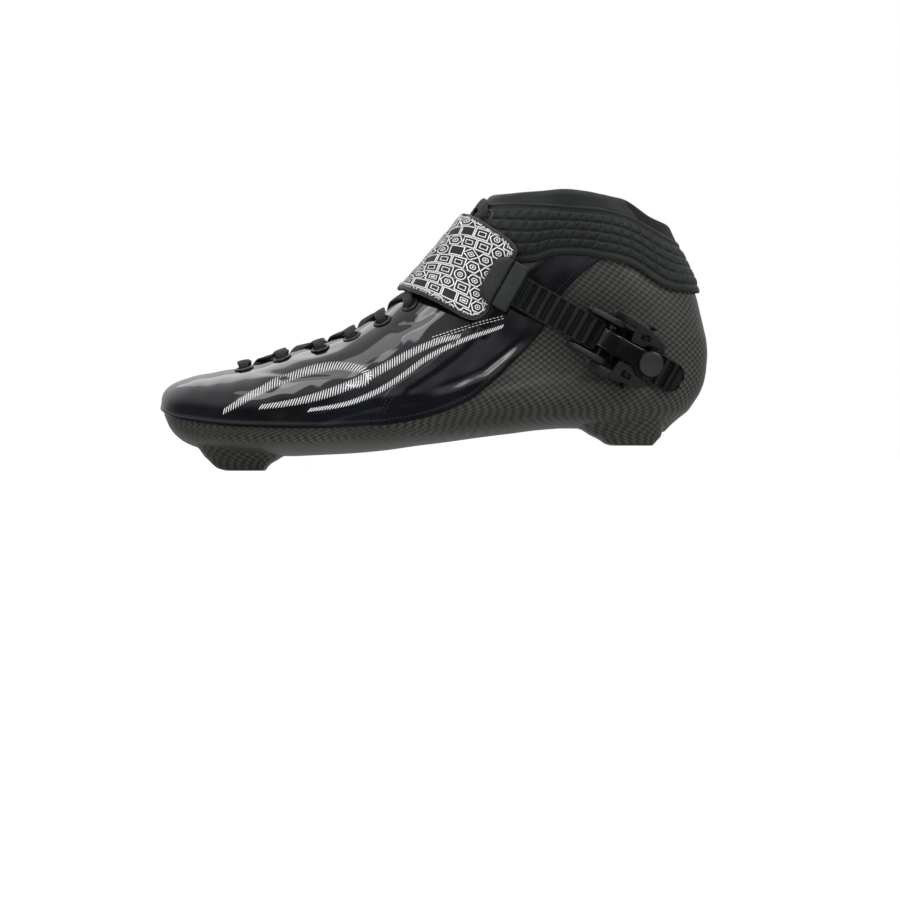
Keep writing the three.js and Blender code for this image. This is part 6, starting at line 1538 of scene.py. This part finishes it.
BK, BG, BW = Bits(), Bits(), Bits()
hem = [[q[0], q[1] + 2.2] for q in SHELL_EDGE if -134 < q[0] < 47]
for s in (-1, 1):
    stitch_line(hem, s, quarter_off, BK, 2.1, 1.6, 0.5, 0.42)
    sm = [q for q in SEAM if 27 < q[1] < 66]
    stitch_line(sm[::-1], s, quarter_off, BK, 2.0, 1.5, 0.5, 0.42, shift=-1.6)
    stitch_line(sm[::-1], s, quarter_off, BK, 2.0, 1.5, 0.5, 0.42, shift=-3.3)
    ankle = [[q[0] - 2.2, q[1] + 1.0] for q in SHELL_EDGE if 50 < q[0] < 84]
    stitch_line(ankle, s, 1.4, BK, 2.1, 1.6, 0.5, 0.42)
    # along the collar's two edges, and the short seam behind the top eyelet
    xs_ = np.linspace(27, 128, 90)
    stitch_line(np.c_[xs_, low_z(xs_) + 2.7], s, lambda a_, b_: np.full(len(a_), 2.25), BG, 2.3, 1.5, 0.55, 0.45)
    xs_ = np.linspace(31, 121, 90)
    stitch_line(np.c_[xs_, up_z(xs_) - 2.2], s, lambda a_, b_: np.full(len(a_), 2.25), BG, 2.3, 1.5, 0.55, 0.45)
    stitch_line([[42.5, 130.4], [41, 127], [38.4, 123.4], [36.0, 120]], s, lambda a_, b_: np.full(len(a_), 3.3), BG, 2.1, 1.5, 0.5, 0.45)
for B_, nm, m in ((BK, "upper_stitches", THREAD), (BG, "collar_stitches", THREADG)):
    finish_piece(B_.make(nm), m)

# embroidered sweep on the outer side: crossing arcs of slanted threads, and a twin line over the quarter
def sweep(P, w0, w1, off, B_, hatch=1.35, slant=2.4):
    P = np.asarray(P, float)
    d = np.concatenate([[0], np.cumsum(np.hypot(*np.diff(P, axis=0).T))]); s_ = np.linspace(0, d[-1], max(10, int(d[-1] / 0.8)))
    x_, z_ = pchip(zip(d, P[:, 0]))(s_), pchip(zip(d, P[:, 1]))(s_)
    t = np.gradient(np.c_[x_, z_], axis=0); t /= np.linalg.norm(t, axis=1, keepdims=True); nr = np.c_[-t[:, 1], t[:, 0]]
    w_ = w0 + (w1 - w0) * np.sin(math.pi * s_ / d[-1]) ** 0.8
    k = int(d[-1] / hatch)
    for i in range(1, k):
        c_ = i * hatch; g = lambda v, at: float(np.interp(at, s_, v))
        x1, z1 = g(x_, c_ - slant * 0.5), g(z_, c_ - slant * 0.5); x2, z2 = g(x_, c_ + slant * 0.5), g(z_, c_ + slant * 0.5)
        ww = g(w_, c_) * 0.5; n1 = (g(nr[:, 0], c_), g(nr[:, 1], c_))
        pa = np.array([[x1 - n1[0] * ww, z1 - n1[1] * ww], [x2 + n1[0] * ww, z2 + n1[1] * ww]])
        Q, N_ = side_points(pa[:, 0], pa[:, 1], -1, 0.0); Q = Q + N_ * (off(pa[:, 0], pa[:, 1])[:, None] + 0.12)
        n_ = (N_[0] + N_[1]) / 2
        B_.stitch(Q[0], Q[1], n_ / np.linalg.norm(n_), 0.56, 0.46, 0.10)


sweep([[-104, 29], [-92, 35.5], [-76, 43.5], [-60, 49.0], [-46, 51.5], [-36, 50.2], [-31, 46.6], [-35, 43.0], [-45, 41.5]], 2.2, 4.6, quarter_off, BW)
sweep([[-86, 31.5], [-70, 33.8], [-52, 38.2], [-36, 44.5], [-20, 53.0], [-8, 59.6], [4, 64.5], [16, 67.5]], 2.0, 4.4, quarter_off, BW)
sweep([[-62, 30.0], [-44, 33.0], [-28, 39.0], [-14, 47.5], [-4, 55.0], [10, 62.5], [24, 68.0], [37, 72.6]], 1.6, 3.0, quarter_off, BW)
tw = [[0, 64.8], [12, 69.0], [24, 72.8], [36, 76.0]]
stitch_line(tw, -1, quarter_off, BW, 1.9, 1.6, 0.36, 0.36)
stitch_line(tw, -1, quarter_off, BW, 1.9, 1.6, 0.36, 0.36, shift=1.3)
finish_piece(BW.make("embroidered_sweep"), THREADW)


# ------------------------------------------------------------------ materials for what is carried over, camera, light and floor
for nm, m in (("lever_pin", DARKSTEEL), ("lever_spring", DARKSTEEL), ("latch_spring", DARKSTEEL), ("pawl_leaf_spring", DARKSTEEL), ("drive_pawl", DARKSTEEL), ("latch_pin", DARKSTEEL),
              ("cap_screw", DARKSTEEL), ("medial_screw", DARKSTEEL), ("medial_washer", STEEL), ("medial_t_nut", STEEL),
              ("buckle_screw_1", DARKSTEEL), ("buckle_screw_2", DARKSTEEL), ("buckle_t_nut_1", STEEL), ("buckle_t_nut_2", STEEL),
              ("buckle_base", PLASTIC), ("buckle_lever", GLOSS), ("release_latch", PLASTIC), ("ladder_strap", LADDER), ("strap_end_cap", MATTE), ("instep_pad", PRINT),
              ("medial_strap", STRAPM), ("lace", BRAID), ("aglet_lateral", AGLET), ("aglet_medial", AGLET)):
    ob = NODES[nm]
    for sl in ob.material_slots:
        sl.material = m
for r in range(1, 10):
    for sd in ("lateral", "medial"):
        for sl in NODES["eyelet_%s_%d" % (sd, r)].material_slots:
            sl.material = EYELET

sc = bpy.context.scene
AIM = Vector((0.0083, 0.0, 0.0104)); LENS = 180.0; DIST = 0.4554 * LENS / 36.0
cam = bpy.data.objects.new("camera", bpy.data.cameras.new("camera")); sc.collection.objects.link(cam)
cam.data.lens = LENS; cam.data.sensor_width = 36.0; cam.data.clip_end = 50.0
cam.location = AIM + Vector((0, -DIST, 0)); cam.rotation_euler = (math.pi / 2, 0, 0)
sc.camera = cam


def area(name, loc, aim, sx, sy, power, color=(1, 1, 1)):
    l = bpy.data.lights.new(name, "AREA"); l.shape = "RECTANGLE"; l.size = sx; l.size_y = sy; l.energy = power; l.color = color
    o = bpy.data.objects.new(name, l); sc.collection.objects.link(o); o.location = loc
    o.rotation_euler = (Vector(aim) - Vector(loc)).to_track_quat("-Z", "Y").to_euler()
    return o


area("top_box", (0.05, -0.15, 1.5), (0, 0, 0.05), 1.9, 0.8, 7.0)
area("key_box", (-0.7, -1.0, 1.45), (0, 0, 0.06), 0.9, 0.9, 7.0)
area("heel_box", (1.15, -0.9, 1.0), (0.05, 0, 0.06), 0.6, 0.8, 8.0)
area("back_box", (0.0, 1.4, 1.2), (0, 0, 0.05), 1.8, 0.7, 3.0)

# the studio: pale on camera and for soft light, darker where the gloss looks back at the room
w = bpy.data.worlds.new("studio"); sc.world = w; w.use_nodes = True
nt = w.node_tree; bg = nt.nodes["Background"]
lp = nt.nodes.new("ShaderNodeLightPath"); bg2 = nt.nodes.new("ShaderNodeBackground"); bg3 = nt.nodes.new("ShaderNodeBackground")
mx, mx2 = nt.nodes.new("ShaderNodeMixShader"), nt.nodes.new("ShaderNodeMixShader")
tc = nt.nodes.new("ShaderNodeTexCoord"); sp = nt.nodes.new("ShaderNodeSeparateXYZ"); nt.links.new(tc.outputs["Generated"], sp.inputs[0])
mr = nt.nodes.new("ShaderNodeMapRange"); mr.interpolation_type = "SMOOTHSTEP"
for k_, v_ in enumerate((0.05, 0.95, 0.0, 0.26)):
    mr.inputs[k_ + 1].default_value = v_
nt.links.new(sp.outputs[1], mr.inputs[0])
mz = nt.nodes.new("ShaderNodeMapRange"); mz.interpolation_type = "SMOOTHSTEP"
for k_, v_ in enumerate((-0.10, 0.62, 0.04, 0.58)):
    mz.inputs[k_ + 1].default_value = v_
nt.links.new(sp.outputs[2], mz.inputs[0])
ad = nt.nodes.new("ShaderNodeMath"); ad.operation = "ADD"; nt.links.new(mr.outputs[0], ad.inputs[0]); nt.links.new(mz.outputs[0], ad.inputs[1])
bg.inputs[0].default_value = (0.97, 0.98, 1.0, 1); nt.links.new(ad.outputs[0], bg.inputs[1])
bg2.inputs[0].default_value = (1, 1, 1, 1); bg2.inputs[1].default_value = 1.0
bg3.inputs[0].default_value = (1, 1, 1, 1); bg3.inputs[1].default_value = 0.62
nt.links.new(lp.outputs["Is Diffuse Ray"], mx2.inputs[0]); nt.links.new(bg.outputs[0], mx2.inputs[1]); nt.links.new(bg3.outputs[0], mx2.inputs[2])
nt.links.new(lp.outputs["Is Camera Ray"], mx.inputs[0]); nt.links.new(mx2.outputs[0], mx.inputs[1]); nt.links.new(bg2.outputs[0], mx.inputs[2])
nt.links.new(mx.outputs[0], nt.nodes["World Output"].inputs[0])
sc.view_settings.view_transform = "Standard"; sc.view_settings.look = "None"; sc.view_settings.exposure = 0.0; sc.view_settings.gamma = 1.0

fm = bpy.data.meshes.new("floor"); S = 2.6
fm.from_pydata([(-S, -S, 0), (S, -S, 0), (S, S, 0), (-S, S, 0)], [], [(0, 1, 2, 3)])
floor = bpy.data.objects.new("floor", fm); sc.collection.objects.link(floor)
FM = Mat("floor_white", (0.66, 0.66, 0.66), 0.95, spec=0.0)
FM.b.inputs["Emission Color"].default_value = (1, 1, 1, 1); FM.b.inputs["Emission Strength"].default_value = 0.62
FM.color(FM.mix(FM.noise(3.0, 2.0), (0.65, 0.65, 0.65), (0.67, 0.67, 0.67)))
fm.materials.append(FM.m)
floor.visible_glossy = False; floor.location.z = -0.0003
